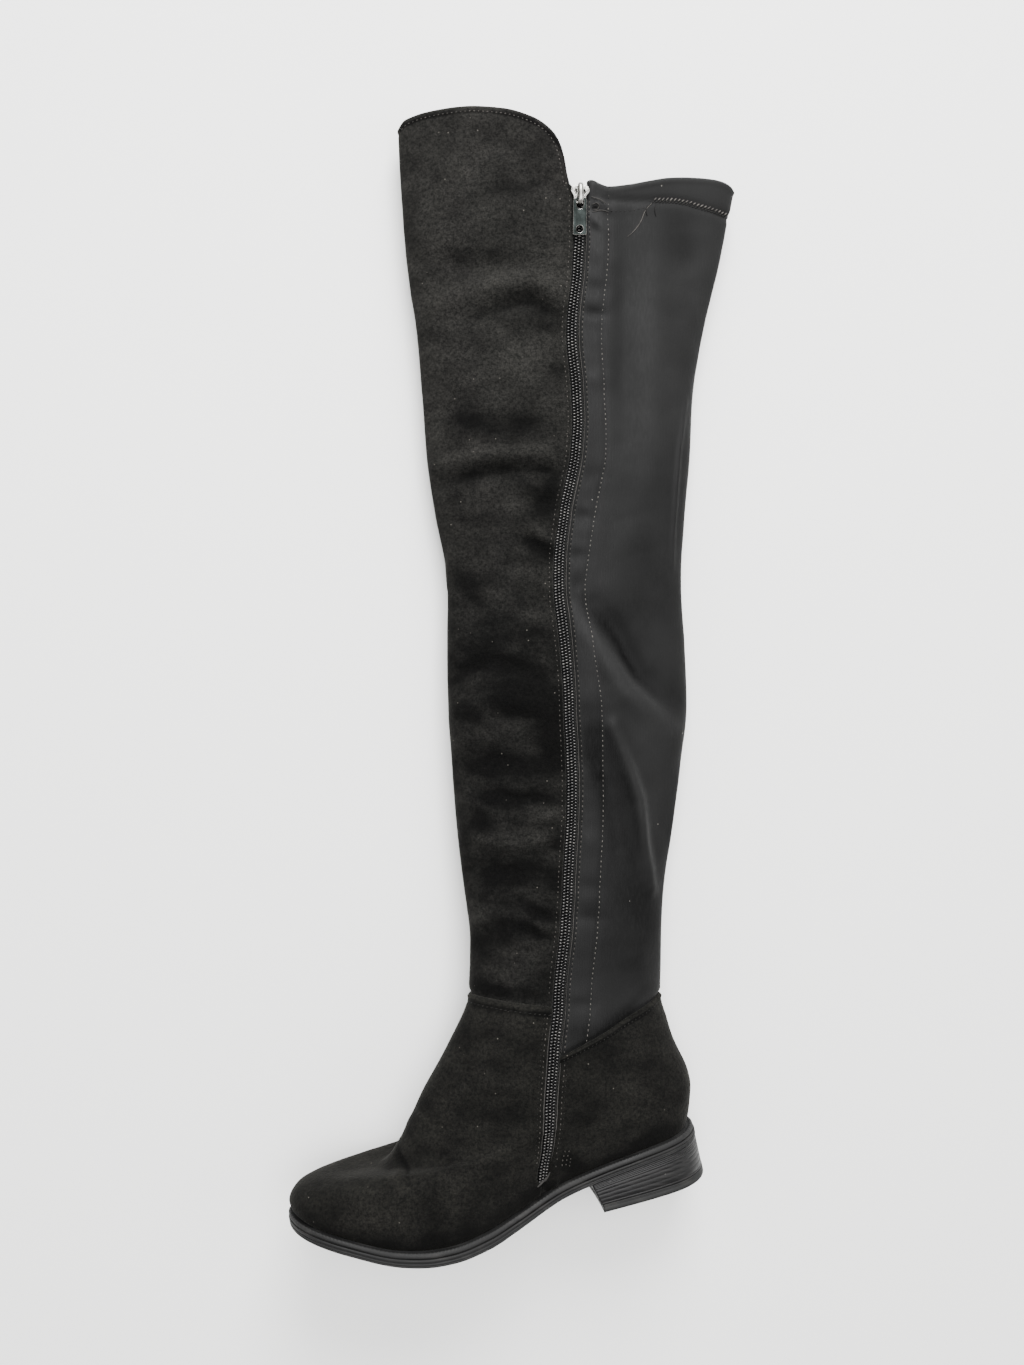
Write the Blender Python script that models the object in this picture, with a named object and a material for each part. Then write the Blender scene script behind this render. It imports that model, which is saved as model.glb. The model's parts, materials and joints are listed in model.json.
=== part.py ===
"""A right over-the-knee boot with a flat block heel, lying slack on its outer side.

Lengths are in millimetres until a mesh is made. The foot is drawn in its own frame: u runs
from the back of the heel to the toe, v from the ground plane of the sole up the leg, and w
from the outer side to the inner side. The boot lies with w pointing up, so the shaft runs
along +Y, the toe points to -X and the zip on the inner side looks up (+Z).
"""
import math

import bmesh
import bpy
import numpy as np

MM = 0.001
GAP = 0.3

FOOT_TURN = math.radians(12.5)
FOOT_YAW = math.radians(5.2)
FOOT_LIFT = 26.2

UPPER_WALL = 1.8
SUEDE_WALL = 1.6
STRETCH_WALL = 1.2

WELT_REACH = 3.4
WELT_THICK = 3.2
WELT_WIDE = 11.0
SOLE_REACH = 4.0
SOLE_THICK = 5.2
SOLE_THIN = 3.8
RIB_DEEP = 0.7
SOLE_POINTS = 56
HEEL_POINTS = 26
HEEL_LIFT_THICK = 5.0
BREAST_TOP = 79.0
BREAST_FOOT = 75.0
GROUND = -1.6
INSOLE_THICK = 3.0

SEAM_STEP = 0.4
SLOT_HALF = 4.8
TAPE_GAP = 0.5
TAPE_TOP = 659.0
TAPE_HALF = 12.0
TAPE_THICK = 0.7
COIL_HALF = 3.1
COIL_HIGH = 1.8
COIL_GAP = 0.5
ZIP_FOOT = 12.0
SLIDER_AT = 652.5

SLIDER_LONG = 11.6
SLIDER_WIDE = 8.6
SLIDER_NECK = 6.4
SLIDER_TOP = 1.2
LOBE_WIDE = 12.8
LOBE_FOOT = 0.3
HINGE_ALONG = 3.55
BRIDGE_LONG = 12.4
BRIDGE_WIDE = 2.6
BRIDGE_BAR = 1.2
PULL_LONG = 22.8
PULL_WIDE = 9.6
PULL_THICK = 1.6
PULL_EYE = 5.1
PULL_DROOP = 3.0
EYE_WIDE = 4.6
PIN_THICK = 1.3
PIN_ROOM = 1.35

COLUMNS_FRONT = 11
COLUMNS_BACK = 11
PANEL_ROWS = 24
PANEL_COLUMNS = 26
EDGE_CROWDING = 0.55
ZIP_ROWS = 36
ZIP_CROWDING = 1.35

STATIONS = (0.0, 0.07, 0.3, 0.58, 0.86, 1.0)

# Height of the feather line, where the upper meets the welt: (u, v).
FEATHER = (
    (-2.0, 31.5),
    (30.0, 29.5),
    (60.0, 27.0),
    (94.0, 22.3),
    (131.0, 12.0),
    (150.0, 8.2),
    (167.0, 7.2),
    (183.0, 8.5),
    (205.0, 13.5),
    (237.0, 26.5),
    (253.0, 33.0),
    (264.0, 37.5),
    (274.0, 42.0),
)

# Rings of the foot, each a slanted slice from the vamp's ridge to the back of the heel:
# height up the boot, (u, v, w) in front, (u, v) behind, how much it follows the feather
# line, and where the zip crosses it as a share from front to back.
FOOT_RINGS = (
    (0.0, (266.0, 38.4, 3.0), (2.5, 31.2), 1.00, 0.603),
    (12.0, (267.5, 46.0, 3.0), (-2.5, 44.0), 0.72, 0.605),
    (24.0, (261.0, 53.5, 2.5), (-5.5, 54.0), 0.46, 0.604),
    (36.0, (241.0, 56.5, 2.0), (-6.0, 62.0), 0.25, 0.582),
    (48.0, (207.0, 52.5, 1.0), (-5.0, 70.0), 0.10, 0.528),
    (62.0, (187.0, 68.5, 0.0), (-3.0, 78.0), 0.00, 0.497),
    (84.0, (168.5, 91.5, 0.0), (-1.0, 88.0), 0.00, 0.480),
    (108.0, (146.5, 116.0, 0.0), (0.0, 101.0), 0.00, 0.446),
    (130.0, (125.5, 144.5, -2.0), (0.4, 117.0), 0.00, 0.422),
)

# Fullness of each foot ring to the inner and the outer side, at the stations.
FOOT_INNER = (
    (60.0, 55.0, 43.5, 27.5, 37.0, 56.0),
    (58.0, 54.5, 45.0, 32.0, 39.0, 57.0),
    (50.0, 49.5, 45.0, 34.0, 40.0, 56.0),
    (38.0, 40.0, 41.0, 35.0, 40.0, 52.0),
    (33.0, 35.0, 38.0, 36.0, 38.0, 47.0),
    (31.0, 33.0, 35.0, 35.0, 36.0, 42.0),
    (29.0, 31.0, 33.0, 33.0, 33.0, 37.0),
    (27.0, 28.0, 30.0, 30.5, 30.0, 32.0),
    (23.0, 25.0, 28.0, 28.0, 26.0, 27.0),
)
FOOT_OUTER = (
    (60.0, 54.0, 44.8, 32.5, 38.5, 56.0),
    (58.0, 54.0, 45.0, 33.5, 38.5, 57.0),
    (50.0, 49.0, 43.5, 34.0, 37.5, 56.0),
    (35.0, 38.0, 41.0, 34.0, 37.0, 52.0),
    (29.0, 31.0, 36.0, 34.0, 35.5, 47.0),
    (31.0, 33.0, 35.0, 32.5, 32.5, 42.0),
    (29.0, 31.0, 32.0, 30.5, 29.5, 37.0),
    (27.0, 28.0, 29.0, 28.5, 27.0, 32.0),
    (23.0, 25.0, 27.5, 27.0, 24.0, 27.0),
)

# Rows of the slack shaft: y up the leg, x in front, x behind, height of the middle above
# the floor, half thickness inside, outside and at the two folds, and the zip's share.
SHAFT_ROWS = (
    (150.0, -152.0, -26.0, 31.5, 26.0, 26.5, 19.0, 0.462),
    (185.0, -156.0, -23.0, 27.0, 25.5, 25.5, 18.0, 0.497),
    (225.0, -160.5, -16.5, 24.5, 24.5, 24.5, 18.0, 0.511),
    (265.0, -163.5, -11.0, 23.0, 24.0, 23.0, 19.0, 0.507),
    (305.0, -166.0, -6.5, 22.0, 23.5, 22.0, 19.0, 0.489),
    (345.0, -166.5, -7.5, 20.5, 21.5, 20.5, 18.0, 0.478),
    (385.0, -166.0, -9.5, 19.0, 19.5, 19.0, 17.0, 0.464),
    (430.0, -174.0, -7.0, 18.0, 18.5, 18.0, 17.0, 0.494),
    (470.0, -180.0, -3.5, 18.0, 18.5, 18.0, 17.0, 0.540),
    (510.0, -183.0, -1.5, 18.0, 19.0, 18.0, 17.0, 0.553),
    (555.0, -187.0, 5.5, 18.5, 20.0, 18.5, 17.0, 0.530),
    (600.0, -193.5, 16.0, 19.0, 21.0, 19.0, 17.0, 0.525),
    (650.0, -197.5, 25.5, 20.0, 22.0, 20.0, 17.0, 0.524),
    (710.0, -200.5, 38.0, 20.0, 21.0, 20.0, 17.0, 0.520),
)
SHAFT_FROM = 114.0
OUTER_FLATNESS = 0.62

# Seams across the boot, as height up the boot against the share from front to back.
ANKLE_SEAM = 131.0
ANKLE_DROP = 4.0
COUNTER_LOW = 97.0
COUNTER_HIGH = 130.0
FLAP_RIM = (
    (0.000, 698.0),
    (0.020, 703.0),
    (0.100, 708.8),
    (0.195, 711.0),
    (0.290, 708.0),
    (0.375, 702.0),
    (0.435, 693.5),
    (0.463, 684.0),
    (0.478, 673.0),
    (0.489, 662.0),
    (0.503, 657.5),
)
BACK_RIM = (
    (0.500, 660.0),
    (0.600, 659.0),
    (0.740, 664.5),
    (0.900, 666.0),
    (1.000, 661.0),
)


def smooth(knots, values, at):
    """Read a smooth curve without overshoot through values at the knots."""
    x = np.asarray(knots, float)
    y = np.asarray(values, float)
    y = y.reshape(len(x), -1)
    step = np.diff(x)[:, None]
    slope = np.diff(y, axis=0) / step
    both = slope[:-1] * slope[1:]
    mean = 3.0 * (step[:-1] + step[1:])
    weigh = (2.0 * step[1:] + step[:-1]) / np.where(slope[:-1] == 0, 1.0, slope[:-1])
    weigh = weigh + (step[1:] + 2.0 * step[:-1]) / np.where(slope[1:] == 0, 1.0, slope[1:])
    inner = np.where(both > 0, mean / np.where(both > 0, weigh, 1.0), 0.0)
    tangent = np.vstack([slope[:1], inner, slope[-1:]])
    at = np.atleast_1d(np.asarray(at, float))
    cell = np.clip(np.searchsorted(x, at, side="right") - 1, 0, len(x) - 2)
    wide = (x[cell + 1] - x[cell])[:, None]
    s = np.clip((at - x[cell])[:, None] / wide, 0.0, 1.0)
    return (
        (1 + 2 * s) * (1 - s) ** 2 * y[cell]
        + s * (1 - s) ** 2 * wide * tangent[cell]
        + s * s * (3 - 2 * s) * y[cell + 1]
        + s * s * (s - 1) * wide * tangent[cell + 1]
    )


def feather_height(u):
    """Height of the feather line above the ground plane at u."""
    table = np.array(FEATHER)
    return smooth(table[:, 0], table[:, 1], u)[:, 0]


def foot_point(u, v, w):
    """Place a point of the foot's frame where the boot lies."""
    along = u * math.cos(FOOT_YAW) - w * math.sin(FOOT_YAW)
    x = -along * math.cos(FOOT_TURN) - v * math.sin(FOOT_TURN)
    y = -along * math.sin(FOOT_TURN) + v * math.cos(FOOT_TURN)
    z = FOOT_LIFT + u * math.sin(FOOT_YAW) + w * math.cos(FOOT_YAW)
    return np.stack([x, y, z], axis=-1)


def control_rings():
    """List every ring as one row: height, front, back, side, fullness, flatness, follow, zip."""
    side = foot_point(0.0, 0.0, 1.0) - foot_point(0.0, 0.0, 0.0)
    rows = []
    for ring, inner, outer in zip(FOOT_RINGS, FOOT_INNER, FOOT_OUTER):
        height, front, back, follow, share = ring
        a = foot_point(*front)
        b = foot_point(back[0], back[1], 0.0)
        rows.append([height, *a, *b, *side, *inner, *outer, 1.0, follow, share])
    bottom = rows[-1][0]
    for y, front, back, middle, inner, outer, fold, share in SHAFT_ROWS:
        near = 0.5 * (inner + fold)
        far = 0.5 * (outer + fold)
        inside = (fold, near, inner, inner, near, fold)
        outside = (fold, far, outer, outer, far, fold)
        row = [bottom + y - SHAFT_FROM, front, y, middle, back, y, middle, 0.0, 0.0, 1.0]
        rows.append([*row, *inside, *outside, OUTER_FLATNESS, 0.0, share])
    return np.array(rows)


RINGS = control_rings()


def across(values, share):
    """Read fullness at each share from front to back, one row of stations to a point."""
    x = np.array(STATIONS)
    slope = np.diff(values, axis=1) / np.diff(x)
    tangent = np.empty_like(values)
    tangent[:, 0] = slope[:, 0]
    tangent[:, -1] = slope[:, -1]
    tangent[:, 1:-1] = 0.5 * (slope[:, :-1] + slope[:, 1:])
    cell = np.clip(np.searchsorted(x, share, side="right") - 1, 0, len(x) - 2)
    pick = np.arange(len(share))
    wide = x[cell + 1] - x[cell]
    s = (share - x[cell]) / wide
    return (
        (1 + 2 * s) * (1 - s) ** 2 * values[pick, cell]
        + s * (1 - s) ** 2 * wide * tangent[pick, cell]
        + s * s * (3 - 2 * s) * values[pick, cell + 1]
        + s * s * (s - 1) * wide * tangent[pick, cell + 1]
    )


def skin(height, angle):
    """Outer surface of the boot: height up the boot, angle round it from front by inside."""
    height, angle = np.broadcast_arrays(np.atleast_1d(height), np.atleast_1d(angle))
    ring = smooth(RINGS[:, 0], RINGS[:, 1:], height)
    front, back, side = ring[:, 0:3], ring[:, 3:6], ring[:, 6:9]
    share = 0.5 * (1.0 - np.cos(angle))
    swing = np.sin(angle)
    inner = across(ring[:, 9:15], share)
    outer = across(ring[:, 15:21], share)
    reach = np.where(swing >= 0, inner * swing, -outer * np.abs(swing) ** ring[:, 21])
    follow = ring[:, 22]
    u = FOOT_RINGS[0][1][0] * (1 - share) + FOOT_RINGS[0][2][0] * share
    chord = FOOT_RINGS[0][1][1] * (1 - share) + FOOT_RINGS[0][2][1] * share
    sag = follow * (feather_height(u) - chord)
    up = foot_point(0.0, 1.0, 0.0) - foot_point(0.0, 0.0, 0.0)
    point = front + (back - front) * share[:, None]
    return point + side * reach[:, None] + up * sag[:, None]


def outward(height, angle):
    """Unit normals of the skin."""
    height, angle = np.broadcast_arrays(np.atleast_1d(height), np.atleast_1d(angle))
    low = np.maximum(height - 0.6, 0.0)
    along = skin(height + 0.6, angle) - skin(low, angle)
    round_it = skin(height, angle + 0.012) - skin(height, angle - 0.012)
    normal = np.cross(round_it, along)
    return normal / np.linalg.norm(normal, axis=1, keepdims=True)


def inside(height, angle, depth):
    """A point under the skin, or over it where depth is negative."""
    return skin(height, angle) - depth * outward(height, angle)


def zip_angle(height):
    """Angle of the zip on the inner side, which the outer seam mirrors."""
    share = smooth(RINGS[:, 0], RINGS[:, -1], height)[:, 0]
    return np.arccos(1.0 - 2.0 * share)


def beside(height, angle, distance):
    """Angle of the point that lies distance away round the boot."""
    span = skin(height, angle + 0.01) - skin(height, angle - 0.01)
    return angle + distance * 0.02 / np.linalg.norm(span, axis=1)


def share_at(angle):
    """Share from front to back of an angle."""
    return 0.5 * (1.0 - np.cos(angle))


def ankle_seam(angle):
    """Height of the seam over the instep, a little lower at the zip than in front."""
    return ANKLE_SEAM - ANKLE_DROP * share_at(angle) / 0.42


def counter_seam(angle, start):
    """Height of the counter's slanted seam, rising from the side seam to the back."""
    low = share_at(start)
    rise = np.clip((share_at(angle) - low) / (1.0 - low), 0.0, 1.0)
    return COUNTER_LOW + (COUNTER_HIGH - COUNTER_LOW) * rise


def rim_height(table, share):
    """Height of a top edge at each share."""
    rows = np.array(table)
    return smooth(rows[:, 0], rows[:, 1], share)[:, 0]


def material(name, colour, roughness, metallic=0.0):
    """A plain surface with one colour."""
    made = bpy.data.materials.new(name)
    made.use_nodes = True
    shader = made.node_tree.nodes["Principled BSDF"]
    shader.inputs["Base Color"].default_value = (*colour, 1.0)
    shader.inputs["Roughness"].default_value = roughness
    shader.inputs["Metallic"].default_value = metallic
    made.diffuse_color = (*colour, 1.0)
    return made


def add_object(name, points, faces, finish, sharp=40.0):
    """Make an object from points in millimetres."""
    mesh = bpy.data.meshes.new(name)
    mesh.from_pydata([tuple(float(c) * MM for c in p) for p in points], [], faces)
    shape = bmesh.new()
    shape.from_mesh(mesh)
    bmesh.ops.recalc_face_normals(shape, faces=shape.faces)
    shape.to_mesh(mesh)
    shape.free()
    mesh.shade_smooth()
    mesh.set_sharp_from_angle(angle=math.radians(sharp))
    mesh.materials.append(finish)
    made = bpy.data.objects.new(name, mesh)
    bpy.context.scene.collection.objects.link(made)
    return made


def sheet_solid(name, outer, under, finish, wraps=False, missing=()):
    """Join two grids of points, skin and underside, into one closed wall."""
    rows, columns = outer.shape[:2]
    index = np.arange(rows * columns).reshape(rows, columns)
    shift = rows * columns
    points = np.vstack([outer.reshape(-1, 3), under.reshape(-1, 3)])
    skin_faces = []
    for i in range(rows - 1):
        for k in range(columns if wraps else columns - 1):
            if (i, k) not in missing:
                n = (k + 1) % columns
                skin_faces.append((index[i, k], index[i, n], index[i + 1, n], index[i + 1, k]))
    sides = {}
    for face in skin_faces:
        for a, b in zip(face, face[1:] + face[:1]):
            sides[(a, b)] = True
    faces = [tuple(int(p) for p in reversed(face)) for face in skin_faces]
    faces += [tuple(int(p + shift) for p in face) for face in skin_faces]
    for a, b in sides:
        if (b, a) not in sides:
            faces.append((int(a), int(b), int(b + shift), int(a + shift)))
    used = sorted({p for face in faces for p in face})
    place = {p: n for n, p in enumerate(used)}
    faces = [tuple(place[p] for p in face) for face in faces]
    return add_object(name, points[used], faces, finish)


def stacked_solid(name, loops, finish, sharp=35.0, tip=True):
    """Bridge closed loops from top to bottom and close both ends with rungs.

    The loops start at a tip, or at one end of a straight front edge.
    """
    count = len(loops[0])
    points = np.vstack(loops)
    faces = []
    for n in range(len(loops) - 1):
        for k in range(count):
            a, b = n * count + k, n * count + (k + 1) % count
            faces.append((a, b, b + count, a + count))
    bottom = (len(loops) - 1) * count
    for k in range(count // 2 if tip else count // 2 - 1):
        far = count - k if tip else count - 1 - k
        rung = (k, k + 1, (far - 1) % count, far % count)
        face = tuple(dict.fromkeys(rung))
        faces.append(face)
        faces.append(tuple(bottom + p for p in face))
    return add_object(name, points, faces, finish, sharp)


def ring_solid(name, loops, finish):
    """Bridge closed loops in turn and back to the first, like a washer."""
    count = len(loops[0])
    points = np.vstack(loops)
    faces = []
    for n in range(len(loops)):
        m = (n + 1) % len(loops)
        for k in range(count):
            j = (k + 1) % count
            faces.append((n * count + k, n * count + j, m * count + j, m * count + k))
    return add_object(name, points, faces, finish)


def foot_coordinates(point):
    """Read a placed point back in the foot's frame."""
    along = -point[:, 0] * math.cos(FOOT_TURN) - point[:, 1] * math.sin(FOOT_TURN)
    rise = point[:, 2] - FOOT_LIFT
    u = along * math.cos(FOOT_YAW) + rise * math.sin(FOOT_YAW)
    v = -point[:, 0] * math.sin(FOOT_TURN) + point[:, 1] * math.cos(FOOT_TURN)
    w = -along * math.sin(FOOT_YAW) + rise * math.cos(FOOT_YAW)
    return u, v, w


def sole_outline(angle, reach):
    """Feather line in plan, u and w, pushed outwards by reach."""
    u, _, w = foot_coordinates(skin(0.0, angle))
    u_next, _, w_next = foot_coordinates(skin(0.0, angle + 0.01))
    u_last, _, w_last = foot_coordinates(skin(0.0, angle - 0.01))
    run, cross = u_next - u_last, w_next - w_last
    size = np.hypot(run, cross)
    return u + reach * cross / size, w - reach * run / size


def sole_thickness(u):
    """Outsole thickness: full under the ball and toe, thin through the waist and heel."""
    return smooth((100.0, 150.0), (SOLE_THIN, SOLE_THICK), u)[:, 0]


def sole_loop(angle, reach, drop, sole_share=0.0):
    """A closed loop round the sole, drop under the feather line and partway down the sole."""
    u, w = sole_outline(angle, reach)
    level = feather_height(u) - drop - sole_share * sole_thickness(u)
    return foot_point(u, level, w)


def make_upper(finish):
    """Vamp and counter in one, open at the ankle, underneath and along the zip."""
    shares = (0.0, 0.1, 0.19, 0.28, 0.37, 0.46, 0.55, 0.64, 0.73, 0.82, 0.91, 1.0)
    front = COLUMNS_FRONT * 2
    back = COLUMNS_BACK * 2
    start = zip_angle(COUNTER_LOW)
    outer, under = [], []
    for share in shares:
        angles, heights = [], []
        for n in range(front + back + 2):
            fore = n <= front
            turn = n / front if fore else (n - front - 1) / back
            guess = COUNTER_LOW * share
            for _ in range(3):
                edge = zip_angle(guess)
                if fore:
                    first, last = -edge, beside(guess, edge, -SLOT_HALF)
                else:
                    first = beside(guess, edge, SLOT_HALF)
                    last = 2 * math.pi + beside(guess, -edge, -SEAM_STEP)
                angle = first + (last - first) * turn
                rim = ankle_seam(angle) if fore else counter_seam(angle, start)
                guess = rim[0] * share
            angles.append(angle)
            heights.append(guess)
        heights = np.array(heights, float)
        angles = np.concatenate(angles)
        outer.append(skin(heights, angles))
        under.append(inside(heights, angles, UPPER_WALL))
    slot = {(i, front) for i in range(1, len(shares) - 1)}
    return sheet_solid("upper", np.array(outer), np.array(under), finish, True, slot)


def panel(name, low, high, edges, wall, shares, finish):
    """One shaft panel between two seam heights and two side edges."""
    outer, under = [], []
    for share in shares:
        points, normals = [], []
        for n in range(PANEL_COLUMNS + 1):
            even = n / PANEL_COLUMNS
            turn = even - EDGE_CROWDING * math.sin(2 * math.pi * even) / (2 * math.pi)
            height = 400.0
            for _ in range(5):
                first, last = edges(height)
                angle = first + (last - first) * turn
                base = low(angle)
                height = float((base + (high(angle) - base) * share)[0])
            points.append(skin(height, angle)[0])
            normals.append(outward(height, angle)[0])
        outer.append(points)
        under.append(np.array(points) - wall * np.array(normals))
    return sheet_solid(name, np.array(outer), np.array(under), finish)


def make_shaft_front(finish):
    """The suede front of the shaft, with its rounded flap over the knee."""

    def low(angle):
        return ankle_seam(angle) + GAP

    def high(angle):
        return rim_height(FLAP_RIM, share_at(angle))

    def edges(height):
        edge = zip_angle(height)
        return beside(height, -edge, 0.5 * GAP), beside(height, edge, -SLOT_HALF)

    shares = np.linspace(0.0, 1.0, PANEL_ROWS + 1)
    return panel("shaft_front", low, high, edges, SUEDE_WALL, shares, finish)


def make_shaft_back(finish):
    """The stretch back of the shaft, from the counter's seam to its straight hem."""
    start = zip_angle(COUNTER_LOW)

    def low(angle):
        return counter_seam(angle, start) + 1.4 * GAP

    def high(angle):
        return rim_height(BACK_RIM, share_at(angle))

    def edges(height):
        edge = zip_angle(height)
        last = 2 * math.pi + beside(height, -edge, -SEAM_STEP - GAP)
        return beside(height, edge, SLOT_HALF), last

    below = (ANKLE_SEAM - ANKLE_DROP - COUNTER_LOW) / (BACK_RIM[0][1] - COUNTER_LOW)
    shares = np.append(0.0, below + (1.0 - below) * np.linspace(0.0, 1.0, PANEL_ROWS + 1))
    return panel("shaft_back", low, high, edges, STRETCH_WALL, shares, finish)


def zip_strip(name, bottom, top, left, right, high, deep, finish):
    """A strip along the zip, between two distances from its middle and two depths."""
    outer, under = [], []
    for height in bottom + (top - bottom) * np.linspace(0.0, 1.0, ZIP_ROWS + 1) ** ZIP_CROWDING:
        edge = zip_angle(height)
        angles = np.concatenate([beside(height, edge, d) for d in np.linspace(left, right, 4)])
        outer.append(inside(height, angles, high))
        under.append(inside(height, angles, deep))
    return sheet_solid(name, np.array(outer), np.array(under), finish)


def make_zip(tape_finish, coil_finish):
    """Two woven tapes behind the slot, and the closed coil on top of them."""
    tape_top = UPPER_WALL + TAPE_GAP
    sides = (("front", -TAPE_HALF, -0.5 * GAP), ("back", 0.5 * GAP, TAPE_HALF))
    for side, left, right in sides:
        zip_strip(f"zip_tape_{side}", ZIP_FOOT - 6.0, TAPE_TOP, left, right, tape_top,
                  tape_top + TAPE_THICK, tape_finish)
    coil_foot = tape_top - COIL_GAP
    zip_strip("zip_coil", ZIP_FOOT + 4.0, SLIDER_AT - 0.5 * SLIDER_LONG - GAP, -COIL_HALF,
              COIL_HALF, coil_foot - COIL_HIGH, coil_foot, coil_finish)


def slider_frame():
    """Where the slider sits: a point on the skin, down the zip, across it, and outwards."""
    edge = zip_angle(SLIDER_AT)
    centre = skin(SLIDER_AT, edge)[0]
    below = skin(SLIDER_AT - 6.0, zip_angle(SLIDER_AT - 6.0))[0]
    out = outward(SLIDER_AT, edge)[0]
    down = below - centre
    down = down - out * np.dot(down, out)
    down = down / np.linalg.norm(down)
    return centre, down, np.cross(down, out), out


def extruded(name, outline, low, high, place, finish):
    """A prism: outline points (x, y) between two heights, placed by a function."""
    count = len(outline)
    points = [place(x, y, low) for x, y in outline] + [place(x, y, high) for x, y in outline]
    faces = [tuple(range(count)), tuple(range(2 * count - 1, count - 1, -1))]
    for k in range(count):
        n = (k + 1) % count
        faces.append((k, k + count, n + count, n))
    return add_object(name, points, faces, finish)


def cut_by(target, tool, operation):
    """Apply a Boolean as a modifier, and keep the tool out of the build."""
    modifier = target.modifiers.new(tool.name, "BOOLEAN")
    modifier.operation = operation
    modifier.solver = "EXACT"
    modifier.object = tool
    tool.hide_render = True
    tool.display_type = "WIRE"


def make_slider(finish):
    """The slider: a notched wedge, its lobed top plate, and the bridge that holds the pull."""
    centre, down, across_zip, out = slider_frame()

    def flat(x, y, z):
        return centre + down * x + across_zip * y + out * z

    def upright(x, z, y):
        return centre + down * x + across_zip * y + out * z

    long, wide, neck = 0.5 * SLIDER_LONG, 0.5 * SLIDER_WIDE, 0.5 * SLIDER_NECK
    body = (
        (long, -neck), (long, neck), (-0.1 * long, neck + 0.2), (-0.6 * long, wide),
        (-long, wide), (-long, 0.35 * wide), (-0.55 * long, 0.0), (-long, -0.35 * wide),
        (-long, -wide), (-0.6 * long, -wide), (-0.1 * long, -neck - 0.2),
    )
    foot = -(UPPER_WALL + TAPE_GAP - GAP)
    slider = extruded("zip_slider", body, foot, 0.5 * (LOBE_FOOT + SLIDER_TOP), flat, finish)
    lobe = 0.5 * LOBE_WIDE
    lobes = (
        (0.7 * long, -neck), (0.7 * long, neck), (0.2 * long, neck + 0.4), (-0.3 * long, lobe),
        (-0.7 * long, lobe - 0.3), (-1.1 * long, 0.5 * lobe), (-0.9 * long, 0.0),
        (-1.1 * long, -0.5 * lobe), (-0.7 * long, -lobe + 0.3), (-0.3 * long, -lobe),
        (0.2 * long, -neck - 0.4),
    )
    plate = extruded("zip_slider_plate", lobes, LOBE_FOOT, SLIDER_TOP, flat, finish)
    cut_by(slider, plate, "UNION")
    half = 0.5 * BRIDGE_LONG
    inner = half - BRIDGE_BAR
    roof = SLIDER_TOP + 2 * PIN_ROOM
    chamfer = 0.6 * BRIDGE_BAR
    arch = (
        (-half, SLIDER_TOP - 0.4), (-inner, SLIDER_TOP - 0.4), (-inner, roof), (inner, roof),
        (inner, SLIDER_TOP - 0.4), (half, SLIDER_TOP - 0.4), (half, roof + chamfer),
        (inner, roof + BRIDGE_BAR), (-inner, roof + BRIDGE_BAR), (-half, roof + chamfer),
    )
    bridge = extruded("zip_slider_bridge", arch, -0.5 * BRIDGE_WIDE, 0.5 * BRIDGE_WIDE,
                      upright, finish)
    cut_by(slider, bridge, "UNION")


def make_pull(finish):
    """The pull tab, hung by its crossbar under the bridge and lying down along the coil."""
    centre, down, across_zip, out = slider_frame()
    axis_point = centre + down * HINGE_ALONG + out * (SLIDER_TOP + PIN_ROOM)
    droop = math.radians(PULL_DROOP)
    along = down * math.cos(droop) - out * math.sin(droop)
    lift = out * math.cos(droop) + down * math.sin(droop)

    def place(x, y, z):
        return along * x + across_zip * y + lift * z

    half, thick, bar = 0.5 * PULL_WIDE, 0.5 * PULL_THICK, 0.5 * PIN_THICK
    corner = 1.0
    plate = (
        (-bar, -half), (PULL_LONG - corner, -half), (PULL_LONG, -half + corner),
        (PULL_LONG, half - corner), (PULL_LONG - corner, half), (-bar, half),
    )
    pull = extruded("zip_pull", plate, -thick, thick, place, finish)
    eye = 0.5 * EYE_WIDE
    window = ((bar, -eye), (bar + PULL_EYE, -eye), (bar + PULL_EYE, eye), (bar, eye))
    hole = [
        (PULL_LONG - 3.5 + 1.9 * math.cos(k * math.pi / 6), 1.9 * math.sin(k * math.pi / 6))
        for k in range(12)
    ]
    for name, outline in (("zip_pull_eye", window), ("zip_pull_hole", hole)):
        tool = extruded(name, outline, -PULL_THICK, PULL_THICK, place, finish)
        tool.parent = pull
        cut_by(pull, tool, "DIFFERENCE")
    pull.location = axis_point * MM
    return axis_point, across_zip


def make_sole(welt_finish, sole_finish, insole_finish):
    """Insole, welt ring and outsole, stacked under the feather line."""
    turns = np.linspace(0.0, 2 * math.pi, SOLE_POINTS, endpoint=False)
    room = UPPER_WALL + 2 * GAP
    stacked_solid("insole", [sole_loop(turns, -room, -INSOLE_THICK), sole_loop(turns, -room, 0.0)],
                  insole_finish)
    low = GAP + WELT_THICK
    welt = [
        sole_loop(turns, WELT_REACH - 0.5, GAP),
        sole_loop(turns, WELT_REACH, GAP + 0.9),
        sole_loop(turns, WELT_REACH, low),
        sole_loop(turns, WELT_REACH - WELT_WIDE, low),
        sole_loop(turns, WELT_REACH - WELT_WIDE, GAP),
    ]
    ring_solid("welt", welt, welt_finish)
    top = low + GAP
    outsole = [
        sole_loop(turns, SOLE_REACH, top),
        sole_loop(turns, SOLE_REACH, top, 0.36),
        sole_loop(turns, SOLE_REACH - RIB_DEEP, top, 0.40),
        sole_loop(turns, SOLE_REACH - RIB_DEEP, top, 0.50),
        sole_loop(turns, SOLE_REACH, top, 0.54),
        sole_loop(turns, SOLE_REACH - 0.4, top, 1.0),
    ]
    stacked_solid("outsole", outsole, sole_finish)


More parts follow.
